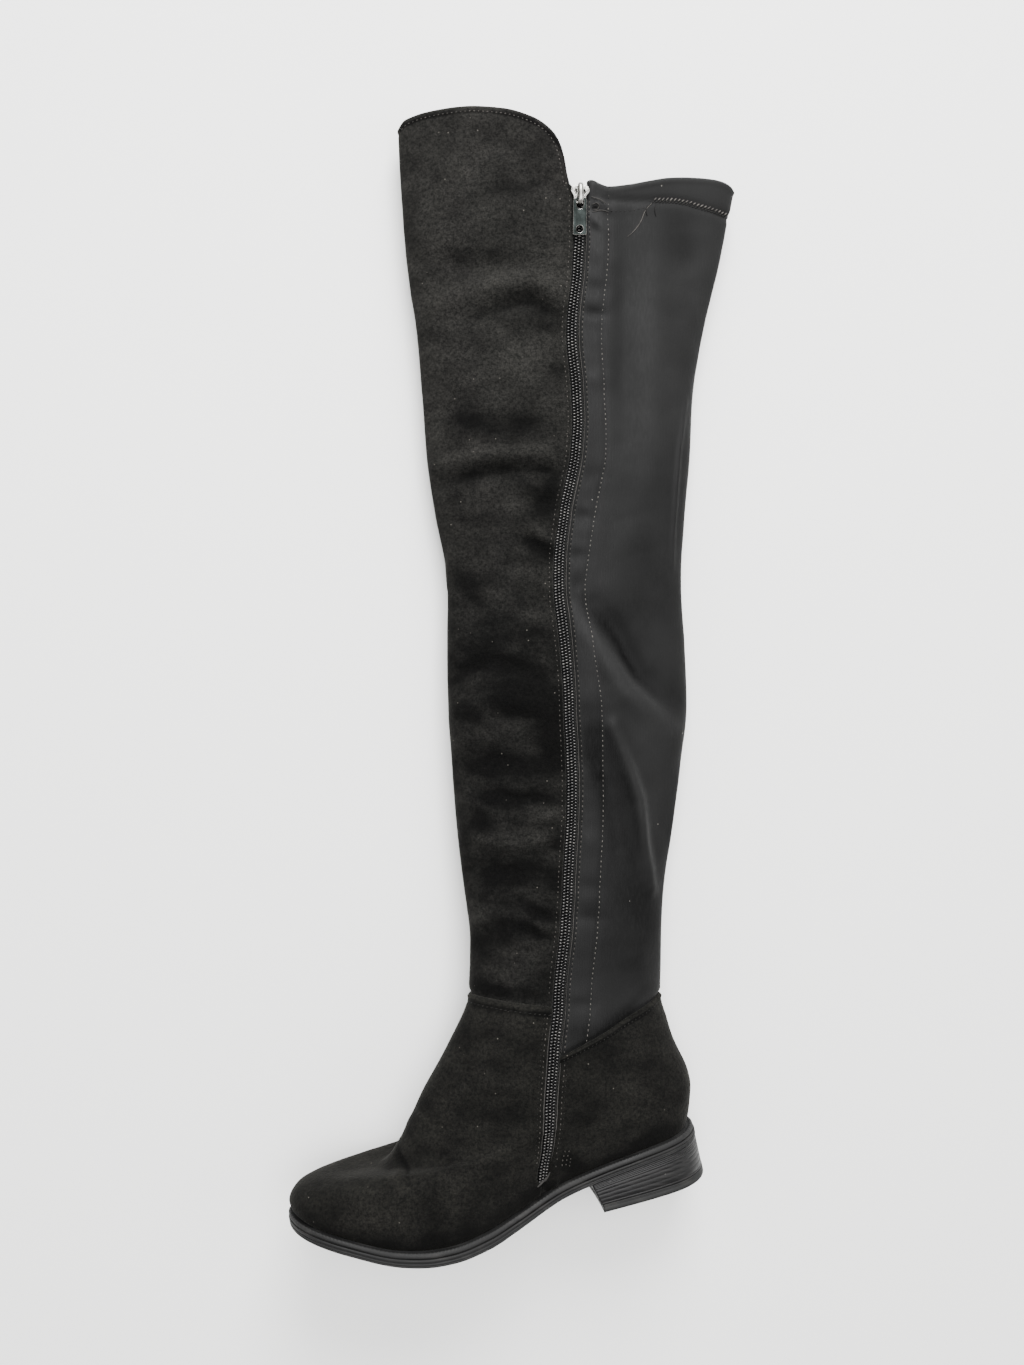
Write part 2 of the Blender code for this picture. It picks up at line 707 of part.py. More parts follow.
def breast_angles():
    """Angles, inside and outside, where the feather line reaches the heel's breast."""
    tries = np.linspace(0.0, 2 * math.pi, 721)
    u = foot_coordinates(skin(0.0, tries))[0]
    behind = tries[u < BREAST_TOP]
    return behind[0], behind[-1]


def heel_loop(reach, front, level):
    """D-shaped loop round the heel; level gives its height at each u."""
    first, last = breast_angles()
    turns = np.linspace(first, last, HEEL_POINTS)
    u, w = sole_outline(turns, reach)
    u = np.minimum(u, BREAST_TOP) * front / BREAST_TOP + (1.0 - front / BREAST_TOP) * u.min()
    return foot_point(u, level(u), w)


def make_heel(heel_finish, lift_finish):
    """The stacked block under the seat and the thin top lift it walks on."""

    def under_sole(u):
        gone = 3 * GAP + WELT_THICK
        return feather_height(u) - gone - sole_thickness(u)

    def lift_top(u):
        return np.full(len(u), GROUND + HEEL_LIFT_THICK + GAP)

    def layer(share):
        return lambda u: under_sole(u) * (1.0 - share) + lift_top(u) * share

    loops = [heel_loop(SOLE_REACH - 0.4, BREAST_TOP, under_sole)]
    for share in (0.2, 0.8):
        front = BREAST_TOP + (BREAST_FOOT - BREAST_TOP) * share
        loops.append(heel_loop(SOLE_REACH - 0.4, front, layer(share)))
    loops.append(heel_loop(SOLE_REACH - 0.4, BREAST_FOOT + 0.6, lift_top))
    stacked_solid("heel", loops, heel_finish, tip=False)
    levels = (GROUND + HEEL_LIFT_THICK, GROUND + 0.5, GROUND)
    lift = [
        heel_loop(SOLE_REACH - inset, BREAST_FOOT, lambda u, v=v: np.full(len(u), v))
        for v, inset in zip(levels, (0.2, 0.2, 0.7))
    ]
    stacked_solid("heel_top_lift", lift, lift_finish, tip=False)


def stand_on_floor():
    """Move everything so that the box's bottom centre is the origin."""
    bpy.context.view_layer.update()
    graph = bpy.context.evaluated_depsgraph_get()
    corners = []
    for made in bpy.context.scene.objects:
        if made.type == "MESH" and not made.hide_render:
            shape = made.evaluated_get(graph).to_mesh()
            corners += [made.matrix_world @ v.co for v in shape.vertices]
    low = [min(c[n] for c in corners) for n in range(3)]
    high = [max(c[n] for c in corners) for n in range(3)]
    shift = (-0.5 * (low[0] + high[0]), -0.5 * (low[1] + high[1]), -low[2])
    for made in bpy.context.scene.objects:
        if made.parent is None:
            for n in range(3):
                made.location[n] += shift[n]
    return shift


def main():
    for old in list(bpy.data.objects):
        bpy.data.objects.remove(old)
    suede = material("faux suede", (0.022, 0.021, 0.020), 0.95)
    foot_suede = material("faux suede foot", (0.020, 0.019, 0.018), 0.95)
    stretch = material("stretch fabric", (0.030, 0.030, 0.032), 0.7)
    tape = material("woven tape", (0.012, 0.012, 0.013), 0.85)
    coil = material("nylon coil", (0.02, 0.02, 0.022), 0.4)
    rubber = material("sole rubber", (0.035, 0.035, 0.036), 0.6)
    edge = material("welt rubber", (0.042, 0.042, 0.042), 0.65)
    stack = material("stacked heel", (0.032, 0.032, 0.033), 0.45)
    lift = material("top lift rubber", (0.04, 0.04, 0.04), 0.6)
    lining = material("insole fabric", (0.03, 0.03, 0.03), 0.9)
    silver = material("nickel plate", (0.62, 0.62, 0.60), 0.28, 1.0)
    black_metal = material("black plate", (0.06, 0.06, 0.065), 0.3, 1.0)
    make_upper(foot_suede)
    make_shaft_front(suede)
    make_shaft_back(stretch)
    make_sole(edge, rubber, lining)
    make_heel(stack, lift)
    make_zip(tape, coil)
    make_slider(silver)
    hinge, axis = make_pull(black_metal)
    shift = stand_on_floor()
    place = [round(float(c) * MM + s, 5) for c, s in zip(hinge, shift)]
    print("pull hinge at", place, "axis", [round(float(c), 5) for c in axis])
    print("moved by", [round(s, 5) for s in shift])


main()
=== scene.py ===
# Right over-the-knee boot, slack on its outer side: faux suede front and foot, stretch back,
# inner zip, block heel. Sizes are in millimetres in the boot's own plan until a mesh is made.
import json
import math
import bmesh
import bpy
import numpy as np
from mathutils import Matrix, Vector, noise


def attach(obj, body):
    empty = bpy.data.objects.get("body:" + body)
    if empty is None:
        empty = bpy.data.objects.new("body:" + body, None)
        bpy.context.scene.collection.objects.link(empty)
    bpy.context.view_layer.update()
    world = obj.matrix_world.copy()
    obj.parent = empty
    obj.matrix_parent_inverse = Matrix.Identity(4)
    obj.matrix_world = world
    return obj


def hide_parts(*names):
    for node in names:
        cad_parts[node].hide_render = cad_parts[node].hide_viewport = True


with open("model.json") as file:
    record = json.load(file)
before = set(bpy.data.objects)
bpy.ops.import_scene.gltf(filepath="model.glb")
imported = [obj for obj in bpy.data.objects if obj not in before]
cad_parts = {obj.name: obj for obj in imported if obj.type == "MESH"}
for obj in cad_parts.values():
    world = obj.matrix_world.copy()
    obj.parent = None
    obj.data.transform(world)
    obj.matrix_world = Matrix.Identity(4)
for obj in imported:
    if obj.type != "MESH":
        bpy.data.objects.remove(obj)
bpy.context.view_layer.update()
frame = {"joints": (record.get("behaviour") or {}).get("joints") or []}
mm = 0.001

boot = {
    "footTurn": 12.5,        # degrees the foot is turned in plan
    "footYaw": 5.2,          # degrees the toe is lifted off the floor
    "footLift": 26.2,        # height of the foot's middle plane at the heel
    "upperWall": 1.8,
    "suedeWall": 1.6,
    "stretchWall": 1.2,
    "slotFront": 3.8,        # from the zip's middle to the suede
    "slotBack": 4.8,         # and to the stretch
    "zipFoot": 12.0,         # height up the boot where the zip starts
    "tapeDepth": 2.3,        # how far the tapes lie under the skin
    "sliderAt": 652.5,
    "sliderTop": 1.2,
    "hingeDown": 3.55,       # from the slider's middle to the pull's hinge
    "pinRoom": 1.35,
    "ankleSeam": 131.0,
    "ankleDrop": 4.0,
    "counterLow": 97.0,
    "counterHigh": 130.0,
    "shaftFrom": 114.0,
    "outerFlatness": 0.62,   # how square the side that lies on the floor is
    "seamHalf": 1.3,         # half the width of the seams' furrow
}

# feather line, where the upper meets the welt: u from heel to toe, v above the ground plane
featherLine = (
    (-2, 31.5), (30, 29.5), (60, 27), (94, 22.3), (131, 12), (150, 8.2),
    (167, 7.2), (183, 8.5), (205, 13.5), (237, 26.5), (253, 33), (264, 37.5),
    (274, 42),
)

# slices of the foot: height up the boot, (u, v, w) in front, (u, v) behind, how much the
# slice follows the feather line, the zip's share of the way from front to back
footSlices = (
    (0, (266, 38.4, 3), (2.5, 31.2), 1.00, 0.603),
    (12, (267.5, 46, 3), (-2.5, 44), 0.72, 0.605),
    (24, (261, 53.5, 2.5), (-5.5, 54), 0.46, 0.604),
    (36, (241, 56.5, 2), (-6, 62), 0.25, 0.582),
    (48, (207, 52.5, 1), (-5, 70), 0.10, 0.528),
    (62, (187, 68.5, 0), (-3, 78), 0.00, 0.497),
    (84, (168.5, 91.5, 0), (-1, 88), 0.00, 0.480),
    (108, (146.5, 116, 0), (0, 101), 0.00, 0.446),
    (130, (125.5, 144.5, -2), (0.4, 117), 0.00, 0.422),
)
stations = (0.0, 0.07, 0.3, 0.58, 0.86, 1.0)

# fullness of each slice at the stations, on the inner side and on the outer
footInner = (
    (60, 55, 43.5, 27.5, 37, 56),
    (58, 54.5, 45, 32, 39, 57),
    (50, 49.5, 45, 34, 40, 56),
    (38, 40, 41, 35, 40, 52),
    (33, 35, 38, 36, 38, 47),
    (31, 33, 35, 35, 36, 42),
    (29, 31, 33, 33, 33, 37),
    (27, 28, 30, 30.5, 30, 32),
    (23, 25, 28, 28, 26, 27),
)
footOuter = (
    (60, 54, 44.8, 32.5, 38.5, 56),
    (58, 54, 45, 33.5, 38.5, 57),
    (50, 49, 43.5, 34, 37.5, 56),
    (35, 38, 41, 34, 37, 52),
    (29, 31, 36, 34, 35.5, 47),
    (31, 33, 35, 32.5, 32.5, 42),
    (29, 31, 32, 30.5, 29.5, 37),
    (27, 28, 29, 28.5, 27, 32),
    (23, 25, 27.5, 27, 24, 27),
)

# rows of the slack shaft: y, x in front, x behind, middle's height above the floor, half
# thickness inside, outside and at the folds, the zip's share
shaftRows = (
    (150, -152, -26, 31.5, 26, 26.5, 19, 0.462),
    (185, -156, -23, 27, 25.5, 25.5, 18, 0.497),
    (225, -160.5, -16.5, 24.5, 24.5, 24.5, 18, 0.511),
    (265, -163.5, -11, 23, 24, 23, 19, 0.507),
    (305, -166, -6.5, 22, 23.5, 22, 19, 0.489),
    (345, -166.5, -7.5, 20.5, 21.5, 20.5, 18, 0.478),
    (385, -166, -9.5, 19, 19.5, 19, 17, 0.464),
    (430, -174, -7, 18, 18.5, 18, 17, 0.494),
    (470, -180, -3.5, 18, 18.5, 18, 17, 0.540),
    (510, -183, -1.5, 18, 19, 18, 17, 0.553),
    (555, -187, 5.5, 18.5, 20, 18.5, 17, 0.530),
    (600, -193.5, 16, 19, 21, 19, 17, 0.525),
    (650, -197.5, 25.5, 20, 22, 20, 17, 0.524),
    (710, -200.5, 38, 20, 21, 20, 17, 0.520),
)
flapRim = (
    (0, 707), (0.020, 710.4), (0.100, 713), (0.195, 713.8), (0.290, 710.8),
    (0.375, 704.3), (0.435, 694.5), (0.463, 684), (0.478, 673), (0.489, 662), (0.503, 657.5),
)
backRim = (
    (0.500, 659.5), (0.520, 661.8), (0.558, 662.3), (0.583, 660), (0.606, 658.6), (0.667, 660),
    (0.731, 663.5), (0.791, 666.5), (0.856, 668), (0.922, 668.6), (0.957, 668), (0.981, 666.8),
    (1, 665.2),
)
hemLine = (   # where the hem is sewn down
    (0.500, 650.8), (0.690, 650.4), (0.765, 651.5), (0.816, 652), (0.856, 651.5), (0.882, 650.5),
    (0.926, 649.4), (0.969, 648), (1, 647.4),
)

# how far the slack cloth carries the zip forward or back of its even line, by height
zipDrift = (
    (0, -0.016), (12, -0.012), (22, -0.009), (38, -0.0105), (46, -0.017), (51, -0.017),
    (58, -0.0115), (78, -0.012), (102, -0.009), (134, -0.006), (166, -0.005),
    (198, -0.008), (230, -0.0115), (262, -0.007), (302, -0.0105), (342, -0.0025),
    (390, -0.008), (422, -0.0035), (446, 0.006), (478, 0.0088), (502, 0.009), (526, 0),
    (558, -0.0065), (580, -0.002), (604, 0.008), (622, 0.008), (643, 0), (710, 0),
)


def hermite(s, wide, start, end, slopeIn, slopeOut):
    return ((1 + 2 * s) * (1 - s) ** 2 * start + s * (1 - s) ** 2 * wide * slopeIn
            + s * s * (3 - 2 * s) * end + s * s * (s - 1) * wide * slopeOut)


def readCurve(knots, values, at):  # a smooth curve through values, without overshoot
    x = np.asarray(knots, float)
    y = np.asarray(values, float).reshape(len(x), -1)
    step = np.diff(x)[:, None]
    slope = np.diff(y, axis=0) / step
    both = slope[:-1] * slope[1:]
    mean = 3.0 * (step[:-1] + step[1:])
    weigh = (2.0 * step[1:] + step[:-1]) / np.where(slope[:-1] == 0, 1.0, slope[:-1])
    weigh = weigh + (step[1:] + 2.0 * step[:-1]) / np.where(slope[1:] == 0, 1.0, slope[1:])
    inner = np.where(both > 0, mean / np.where(both > 0, weigh, 1.0), 0.0)
    tangent = np.vstack([slope[:1], inner, slope[-1:]])
    at = np.atleast_1d(np.asarray(at, float))
    cell = np.clip(np.searchsorted(x, at, side="right") - 1, 0, len(x) - 2)
    wide = (x[cell + 1] - x[cell])[:, None]
    s = np.clip((at - x[cell])[:, None] / wide, 0.0, 1.0)
    return hermite(s, wide, y[cell], y[cell + 1], tangent[cell], tangent[cell + 1])


def readTable(table, at):
    rows = np.array(table)
    return readCurve(rows[:, 0], rows[:, 1], np.ravel(at))[:, 0].reshape(np.shape(at))


def smoothStep(start, end, value):
    s = np.clip((value - start) / (end - start), 0.0, 1.0)
    return s * s * (3 - 2 * s)


def hump(distance, at, half):  # 1 at a distance, and fading on both sides of it
    return np.exp(-(((distance - at) / half) ** 2))


def lengthAlong(path):  # from the first point to each one
    legs = np.linalg.norm(np.diff(path, axis=0), axis=1)
    return np.concatenate([[0.0], np.cumsum(legs)])


def footPoint(u, v, w):  # from the foot's own frame to where the boot lies
    turn, yaw = math.radians(boot["footTurn"]), math.radians(boot["footYaw"])
    along = u * math.cos(yaw) - w * math.sin(yaw)
    x = -along * math.cos(turn) - v * math.sin(turn)
    y = -along * math.sin(turn) + v * math.cos(turn)
    z = boot["footLift"] + u * math.sin(yaw) + w * math.cos(yaw)
    return np.stack([x, y, z], axis=-1)


def footCoordinates(point):
    turn, yaw = math.radians(boot["footTurn"]), math.radians(boot["footYaw"])
    along = -point[:, 0] * math.cos(turn) - point[:, 1] * math.sin(turn)
    rise = point[:, 2] - boot["footLift"]
    u = along * math.cos(yaw) + rise * math.sin(yaw)
    v = -point[:, 0] * math.sin(turn) + point[:, 1] * math.cos(turn)
    w = -along * math.sin(yaw) + rise * math.cos(yaw)
    return u, v, w


def controlRings():
    side = footPoint(0.0, 0.0, 1.0) - footPoint(0.0, 0.0, 0.0)
    rows = []
    for ring, inner, outer in zip(footSlices, footInner, footOuter):
        height, front, back, follow, share = ring
        a, b = footPoint(*front), footPoint(back[0], back[1], 0.0)
        rows.append([height, *a, *b, *side, *inner, *outer, 1.0, follow, share])
    bottom = rows[-1][0]
    for y, front, back, middle, inner, outer, fold, share in shaftRows:
        near, far = 0.5 * (inner + fold), 0.5 * (outer + fold)
        row = [bottom + y - boot["shaftFrom"], front, y, middle, back, y, middle, 0.0, 0.0, 1.0]
        inside = (fold, near, inner, inner, near, fold)
        outside = (fold, far, outer, outer, far, fold)
        rows.append([*row, *inside, *outside, boot["outerFlatness"], 0.0, share])
    return np.array(rows)


rings = controlRings()


def acrossRing(values, share):
    x = np.array(stations)
    slope = np.diff(values, axis=1) / np.diff(x)
    tangent = np.empty_like(values)
    tangent[:, 0], tangent[:, -1] = slope[:, 0], slope[:, -1]
    tangent[:, 1:-1] = 0.5 * (slope[:, :-1] + slope[:, 1:])
    cell = np.clip(np.searchsorted(x, share, side="right") - 1, 0, len(x) - 2)
    pick = np.arange(len(share))
    wide = x[cell + 1] - x[cell]
    s = (share - x[cell]) / wide
    return hermite(s, wide, values[pick, cell], values[pick, cell + 1], tangent[pick, cell],
                   tangent[pick, cell + 1])


def skinAt(height, angle):  # outer surface: height up the boot, angle from the front by inside
    height, angle = np.broadcast_arrays(height, angle)
    shape = height.shape
    height, angle = np.ravel(height), np.ravel(angle)
    ring = readCurve(rings[:, 0], rings[:, 1:], height)
    front, back, side = ring[:, 0:3], ring[:, 3:6], ring[:, 6:9]
    share = 0.5 * (1.0 - np.cos(angle))
    swing = np.sin(angle)
    inner, outer = acrossRing(ring[:, 9:15], share), acrossRing(ring[:, 15:21], share)
    reach = np.where(swing >= 0, inner * swing, -outer * np.abs(swing) ** ring[:, 21])
    first, last = footSlices[0][1], footSlices[0][2]
    u = first[0] * (1 - share) + last[0] * share
    sag = ring[:, 22] * (readTable(featherLine, u) - first[1] * (1 - share) - last[1] * share)
    up = footPoint(0.0, 1.0, 0.0) - footPoint(0.0, 0.0, 0.0)
    point = front + (back - front) * share[:, None]
    return (point + side * reach[:, None] + up * sag[:, None]).reshape(*shape, 3)


def outwardAt(height, angle):
    low = np.maximum(height - 0.6, 0.0)
    along = skinAt(height + 0.6, angle) - skinAt(low, angle)
    roundIt = skinAt(height, angle + 0.012) - skinAt(height, angle - 0.012)
    normal = np.cross(roundIt, along)
    return normal / np.maximum(np.linalg.norm(normal, axis=-1, keepdims=True), 1e-9)


def zipAngle(height):
    share = readCurve(rings[:, 0], rings[:, -1], np.ravel(height))[:, 0]
    share = share + readTable(zipDrift, np.ravel(height))
    return np.arccos(1.0 - 2.0 * share).reshape(np.shape(height))


smallTurn = 0.01


def spanAt(height, angle):  # mm round the boot over two small turns
    return np.linalg.norm(skinAt(height, angle + smallTurn) - skinAt(height, angle - smallTurn),
                          axis=-1)


def besideAt(height, angle, distance):  # the angle that lies a distance round the boot
    return angle + distance * (2 * smallTurn) / spanAt(height, angle)


def shareAt(angle):
    return 0.5 * (1.0 - np.cos(angle))


def ankleSeam(angle):
    return boot["ankleSeam"] - boot["ankleDrop"] * shareAt(angle) / 0.42


def counterSeam(angle):
    low = shareAt(zipAngle(np.array([boot["counterLow"]])))[0]
    rise = np.clip((shareAt(angle) - low) / (1.0 - low), 0.0, 1.0)
    return boot["counterLow"] + (boot["counterHigh"] - boot["counterLow"]) * rise


def rimOf(table):
    return lambda angle: readTable(table, shareAt(angle))


flapEdge, hemEdge, hemSeam = rimOf(flapRim), rimOf(backRim), rimOf(hemLine)


print("surface ready,", len(rings), "rings")

# ---- folds: lift in mm (less than 0 is a trough), half width, then x and y of each
# point that the fold runs through. The inner side looks up, the outer side lies on the floor.
innerFolds = (
    # suede front of the shaft, from the flap down
    (-1.2, 7, -142, 676, -124, 670, -112, 662), (-2, 7, -140, 643, -110, 648, -94, 642),
    (1.4, 9, -176, 614, -140, 618), (-3, 8, -186, 600, -147, 592, -108, 592),
    (1.2, 3, -190, 594, -176, 581), (3.6, 7.5, -176, 571, -140, 580, -112, 582, -92, 572),
    (-3.4, 6, -154, 558, -130, 566, -112, 569, -95, 559), (-2, 4, -112, 552, -92, 548),
    (1.9, 20, -145, 530, -116, 540), (-1.8, 12, -174, 512, -150, 498),
    (-1.6, 8, -150, 490, -100, 487), (3.4, 5.5, -176, 464, -140, 469, -94, 470),
    (-3, 5.5, -176, 450, -140, 458, -92, 457), (-2.2, 6, -116, 440, -94, 436),
    (1.6, 3.5, -116, 424, -96, 408), (-2.6, 6, -122, 416, -96, 400), (1.4, 4, -112, 386, -96, 380),
    (-1.4, 10, -156, 374, -140, 368), (-3.2, 6.5, -164, 322, -138, 333, -108, 324),
    (2, 7, -160, 302, -128, 308, -104, 300), (-2, 9, -136, 300, -106, 292),
    (-3.4, 10, -158, 266, -96, 268), (1.1, 7, -156, 284, -124, 288), (1, 4, -160, 243, -130, 232),
    (-3.2, 5.5, -150, 250, -122, 243, -94, 245), (2.2, 4, -114, 230, -94, 233),
    (3.4, 6, -160, 222, -134, 214, -112, 216, -94, 224), (-3.2, 8, -148, 196, -112, 196),
    (2.2, 4.5, -154, 160, -136, 167, -120, 168), (-2.6, 3.4, -121, 178, -108, 169, -94, 168),
    (2, 3, -118, 170, -106, 162, -96, 160), (-2.4, 3.2, -119, 160, -102, 154),
    (-1.6, 8, -146, 148, -108, 142), (-1.4, 4, -146, 120, -98, 117),
    # stretch back
    (1.8, 10, -31, 618, -31, 530, -31, 440), (-2.4, 8, -51, 622, -51, 560, -50, 480),
    (-2.3, 13, -6, 616, -4, 586), (1, 14, -12, 560, -12, 530), (1.8, 16, -48, 428, -40, 404),
    (5.6, 9.5, -84, 362, -66, 338, -50, 314, -24, 292),
    (-5, 8.5, -70, 370, -56, 352, -42, 324, -24, 308),
    (4.6, 4.6, -60, 290, -50, 264, -43, 242, -40, 214, -34, 184),
    (-3.4, 8, -70, 282, -62, 250, -56, 214), (-1.6, 9, -28, 262, -24, 210),
    (1.6, 8, -48, 150, -44, 134), (-2.2, 4.5, -62, 95, -46, 106),
    # between the zip and the placket's stitches
    (0.9, 2.6, -75, 641, -72, 641), (1.5, 2.3, -75, 635, -68, 632, -60, 626),
    (-1.2, 2, -73, 628.6, -69, 628.6), (1.3, 2.3, -74, 624, -69, 619, -64, 614),
    (-1.3, 2, -75, 618, -70, 613), (1.4, 7, -74, 610, -64, 596), (-1.2, 4.5, -77, 580, -64, 577),
    (-1.9, 3, -77, 562, -64, 560), (1.2, 6, -76, 518, -64, 518), (-1.3, 6, -78, 456, -62, 456),
    (-1.2, 3.5, -84, 431, -72, 427), (-1.3, 4, -88, 404, -76, 403),
    (-1.4, 4.5, -86, 384, -78, 382), (-1.2, 6, -82, 301, -66, 296), (-1, 5, -84, 270, -68, 266),
    (1.2, 6, -82, 222, -70, 216), (-1, 4.5, -86, 188, -70, 185), (-1.3, 3.5, -88, 169, -70, 166),
    (-1.6, 4, -92, 114, -76, 112),
    # the foot
    (-2.6, 8, -181, 2, -179, -22), (1.4, 12, -222, -6, -204, -11), (1.3, 1.5, -191, 46, -180, 35),
    (-1.9, 1.4, -202, 25, -200, 16, -194, 11), (0.9, 1.6, -205, 21, -203, 13, -196, 7),
    (-0.9, 1.8, -196, 32, -190, 26), (-1.2, 8, -166, 54, -156, 46), (-1, 7, -136, 76, -124, 71),
    (-1.1, 6, -87, 42, -84, 32), (-1.8, 2, -108, 3, -106, -7, -117, -15),
    (1.4, 2, -101, 8, -101, -3), (-1.2, 5, -96, 20, -92, 10),
)
outerFolds = (
    (-2, 9, -180, 600, -120, 586), (2, 8, -176, 574, -110, 566), (-2.2, 10, -172, 452, -110, 458),
    (2.4, 9, -150, 330, -104, 320), (3, 10, -70, 372, -46, 330, -22, 296),
    (-3.2, 10, -60, 390, -30, 330, -20, 306), (-2.4, 9, -158, 262, -100, 258),
    (2.2, 7, -156, 228, -104, 222), (-2.2, 8, -150, 196, -100, 200),
    (-1.8, 6, -150, 150, -100, 146), (-1.8, 8, -180, 6, -176, -16),
)
bothFolds = (
    # the instep's crease goes over the ridge, the last two run along the front and back folds
    (-0.9, 4.4, -208, 42, -202, 31, -197, 22), (0.5, 3.6, -200, 46, -193, 34, -189, 24),
    (1.6, 2.6, -164, 412, -165, 384), (1.4, 1.6, -8, 508, -13, 470, -16, 430, -17, 396),
)

# ---- where a hand has stroked the nap, and painted shade and painted highlights along the folds
# and in the crumpled hem corner: how pale (less than 0 is darker), half width, then x and y of each
# point
innerToneAndPaintedShade = (
    # suede front
    (0.7, 7, -162, 676, -150, 668), (-0.7, 6, -146, 680, -128, 672, -112, 662),
    (0.35, 12, -178, 648, -150, 654), (-0.6, 6, -190, 657, -187, 652),
    (-0.7, 5.5, -146, 642, -118, 641, -102, 646, -90, 636), (0.4, 6, -172, 614, -138, 617),
    (-0.8, 6, -164, 602, -130, 602, -104, 606), (-0.9, 5, -186, 599, -170, 590, -146, 583),
    (0.6, 2.5, -189, 593, -176, 580), (0.9, 8, -182, 568, -152, 575, -122, 583, -104, 577),
    (-1.3, 5.5, -154, 558, -130, 566, -112, 569, -96, 560), (-0.9, 4, -110, 552, -94, 549),
    (0.8, 13, -144, 542, -114, 528), (-0.6, 12, -172, 515, -150, 504),
    (-1.1, 8, -162, 490, -120, 488, -98, 484), (0.9, 4, -172, 465, -140, 470, -110, 472, -95, 470),
    (-1.2, 4, -175, 450, -150, 457, -120, 462, -92, 458), (-0.9, 10, -106, 450, -90, 452),
    (0.4, 8, -132, 442, -125, 428), (-1.1, 10, -114, 434, -92, 438), (0.5, 3, -112, 422, -98, 409),
    (-1.1, 6, -120, 416, -104, 407, -96, 399), (0.5, 8, -135, 395, -118, 386),
    (0.4, 4, -110, 385, -98, 381), (-0.6, 12, -154, 385, -144, 372),
    (0.5, 8, -126, 365, -108, 362), (0.7, 2.2, -164, 405, -167, 380, -168, 345),
    (-0.4, 8, -152, 357, -146, 352),
    (-1.2, 6.5, -163, 321, -148, 330, -135, 333, -120, 330, -108, 322),
    (0.2, 6, -160, 310, -148, 314), (-1, 10, -138, 312, -118, 308, -104, 300),
    (0.15, 9, -156, 288, -130, 292, -116, 284), (-1.4, 8, -150, 266, -120, 264, -95, 272),
    (-1.2, 10, -100, 294, -94, 270), (0.4, 5, -156, 255, -140, 258),
    (-1.2, 5, -146, 245, -120, 243, -94, 244), (0.7, 3, -160, 243, -145, 238, -130, 231),
    (1.1, 4, -114, 230, -100, 234, -93, 232), (-0.6, 4, -155, 229, -138, 223),
    (0.9, 4.5, -161, 222, -140, 216, -120, 214, -104, 220, -95, 224),
    (-1.4, 7, -148, 196, -130, 192, -116, 196), (-0.9, 6, -106, 200, -95, 190),
    (0.1, 6, -150, 180, -130, 183), (0.6, 4, -152, 163, -136, 167, -122, 168),
    (-1.2, 3.5, -121, 177, -112, 170, -102, 167, -95, 168), (0.6, 2.5, -114, 166, -104, 161),
    (-1.2, 3.5, -119, 161, -108, 156, -99, 156), (-0.8, 8, -149, 152, -128, 154),
    (0.2, 7, -116, 146, -102, 150, -100, 134), (-0.9, 4, -148, 121, -105, 118),
    # the foot
    (-0.9, 8, -181, -1, -179, -22), (0.8, 9, -228, -7, -204, -10),
    (0.5, 6, -160, 16, -168, 2, -168, -14), (-0.7, 8, -166, 52, -157, 47),
    (-0.5, 8, -152, 88, -140, 93), (-0.7, 7, -136, 76, -124, 71), (0.5, 8, -180, 22, -168, 38),
    (1.8, 1.4, -191, 46, -180, 35), (-2.4, 1.4, -202, 25, -200, 16, -194, 11),
    (1, 2, -206, 20, -204, 12, -197, 6), (-1.4, 1.8, -197, 33, -190, 26),
    (-0.6, 6, -88, 40, -84, 32), (-1, 6, -99, 14, -92, 18, -86, 10),
    (-0.7, 6, -258, -10, -254, -16), (0.4, 6, -230, 6, -214, 9), (-0.5, 7, -208, 8, -198, 4),
    (-0.5, 8, -148, 9, -128, 20), (0.4, 6, -140, 111, -116, 108),
    (-1.7, 3.5, -109, -2, -105, -8, -118, -16), (0.3, 14, -66, 58, -42, 72),
    # stretch back
    (-0.5, 7, -52, 628, -51, 590, -48, 520, -48, 480, -54, 458), (0.4, 8, -68, 614, -60, 584),
    (-0.6, 12, -14, 618, -4, 592), (0.3, 10, -31, 606, -30, 540, -28, 480),
    (-0.9, 3.5, -78, 562, -64, 560), (-0.5, 5, -76, 578, -64, 577), (-0.9, 9, -78, 450, -62, 456),
    (-0.6, 5, -84, 430, -76, 428), (-0.6, 5, -86, 404, -78, 403), (0.35, 8, -72, 517, -66, 520),
    (0.3, 14, -24, 450, -20, 410), (-0.7, 4, -85, 385, -78, 382),
    (2.3, 7.5, -84, 364, -76, 351, -65, 337, -54, 320, -40, 306, -24, 288),
    (0.8, 6, -82, 362, -76, 335, -72, 318), (-1.3, 8, -74, 300, -71, 262),
    (-0.9, 8, -66, 368, -54, 356), (-0.9, 8, -52, 348, -40, 324, -35, 313),
    (1.4, 3.6, -61, 296, -54, 280, -47, 260, -43, 244, -39, 222, -36, 200, -34, 186),
    (0.9, 12, -52, 310, -36, 286, -28, 256, -26, 226), (-0.9, 10, -66, 284, -62, 240),
    (-1.7, 5, -55, 256, -49, 226, -47, 206), (0.5, 7, -76, 226, -72, 208),
    (-0.9, 6, -84, 176, -68, 170), (-0.6, 12, -46, 196, -42, 172, -56, 180),
    (0.3, 8, -78, 132, -66, 128), (-0.8, 4, -94, 98, -76, 99),
    (-0.9, 3.5, -90, 92, -70, 98, -50, 110, -38, 120), (-2.2, 1.8, -73, 628.6, -69.5, 628.6),
    (1.4, 1.9, -75, 636, -68, 633, -61, 628), (-1.4, 1.8, -66, 629, -61, 625),
    (1.3, 1.9, -74, 625, -68, 620, -64, 616), (-1.6, 2.2, -75, 619, -69, 613),
    (-1, 2, -74, 636, -71, 634),
)
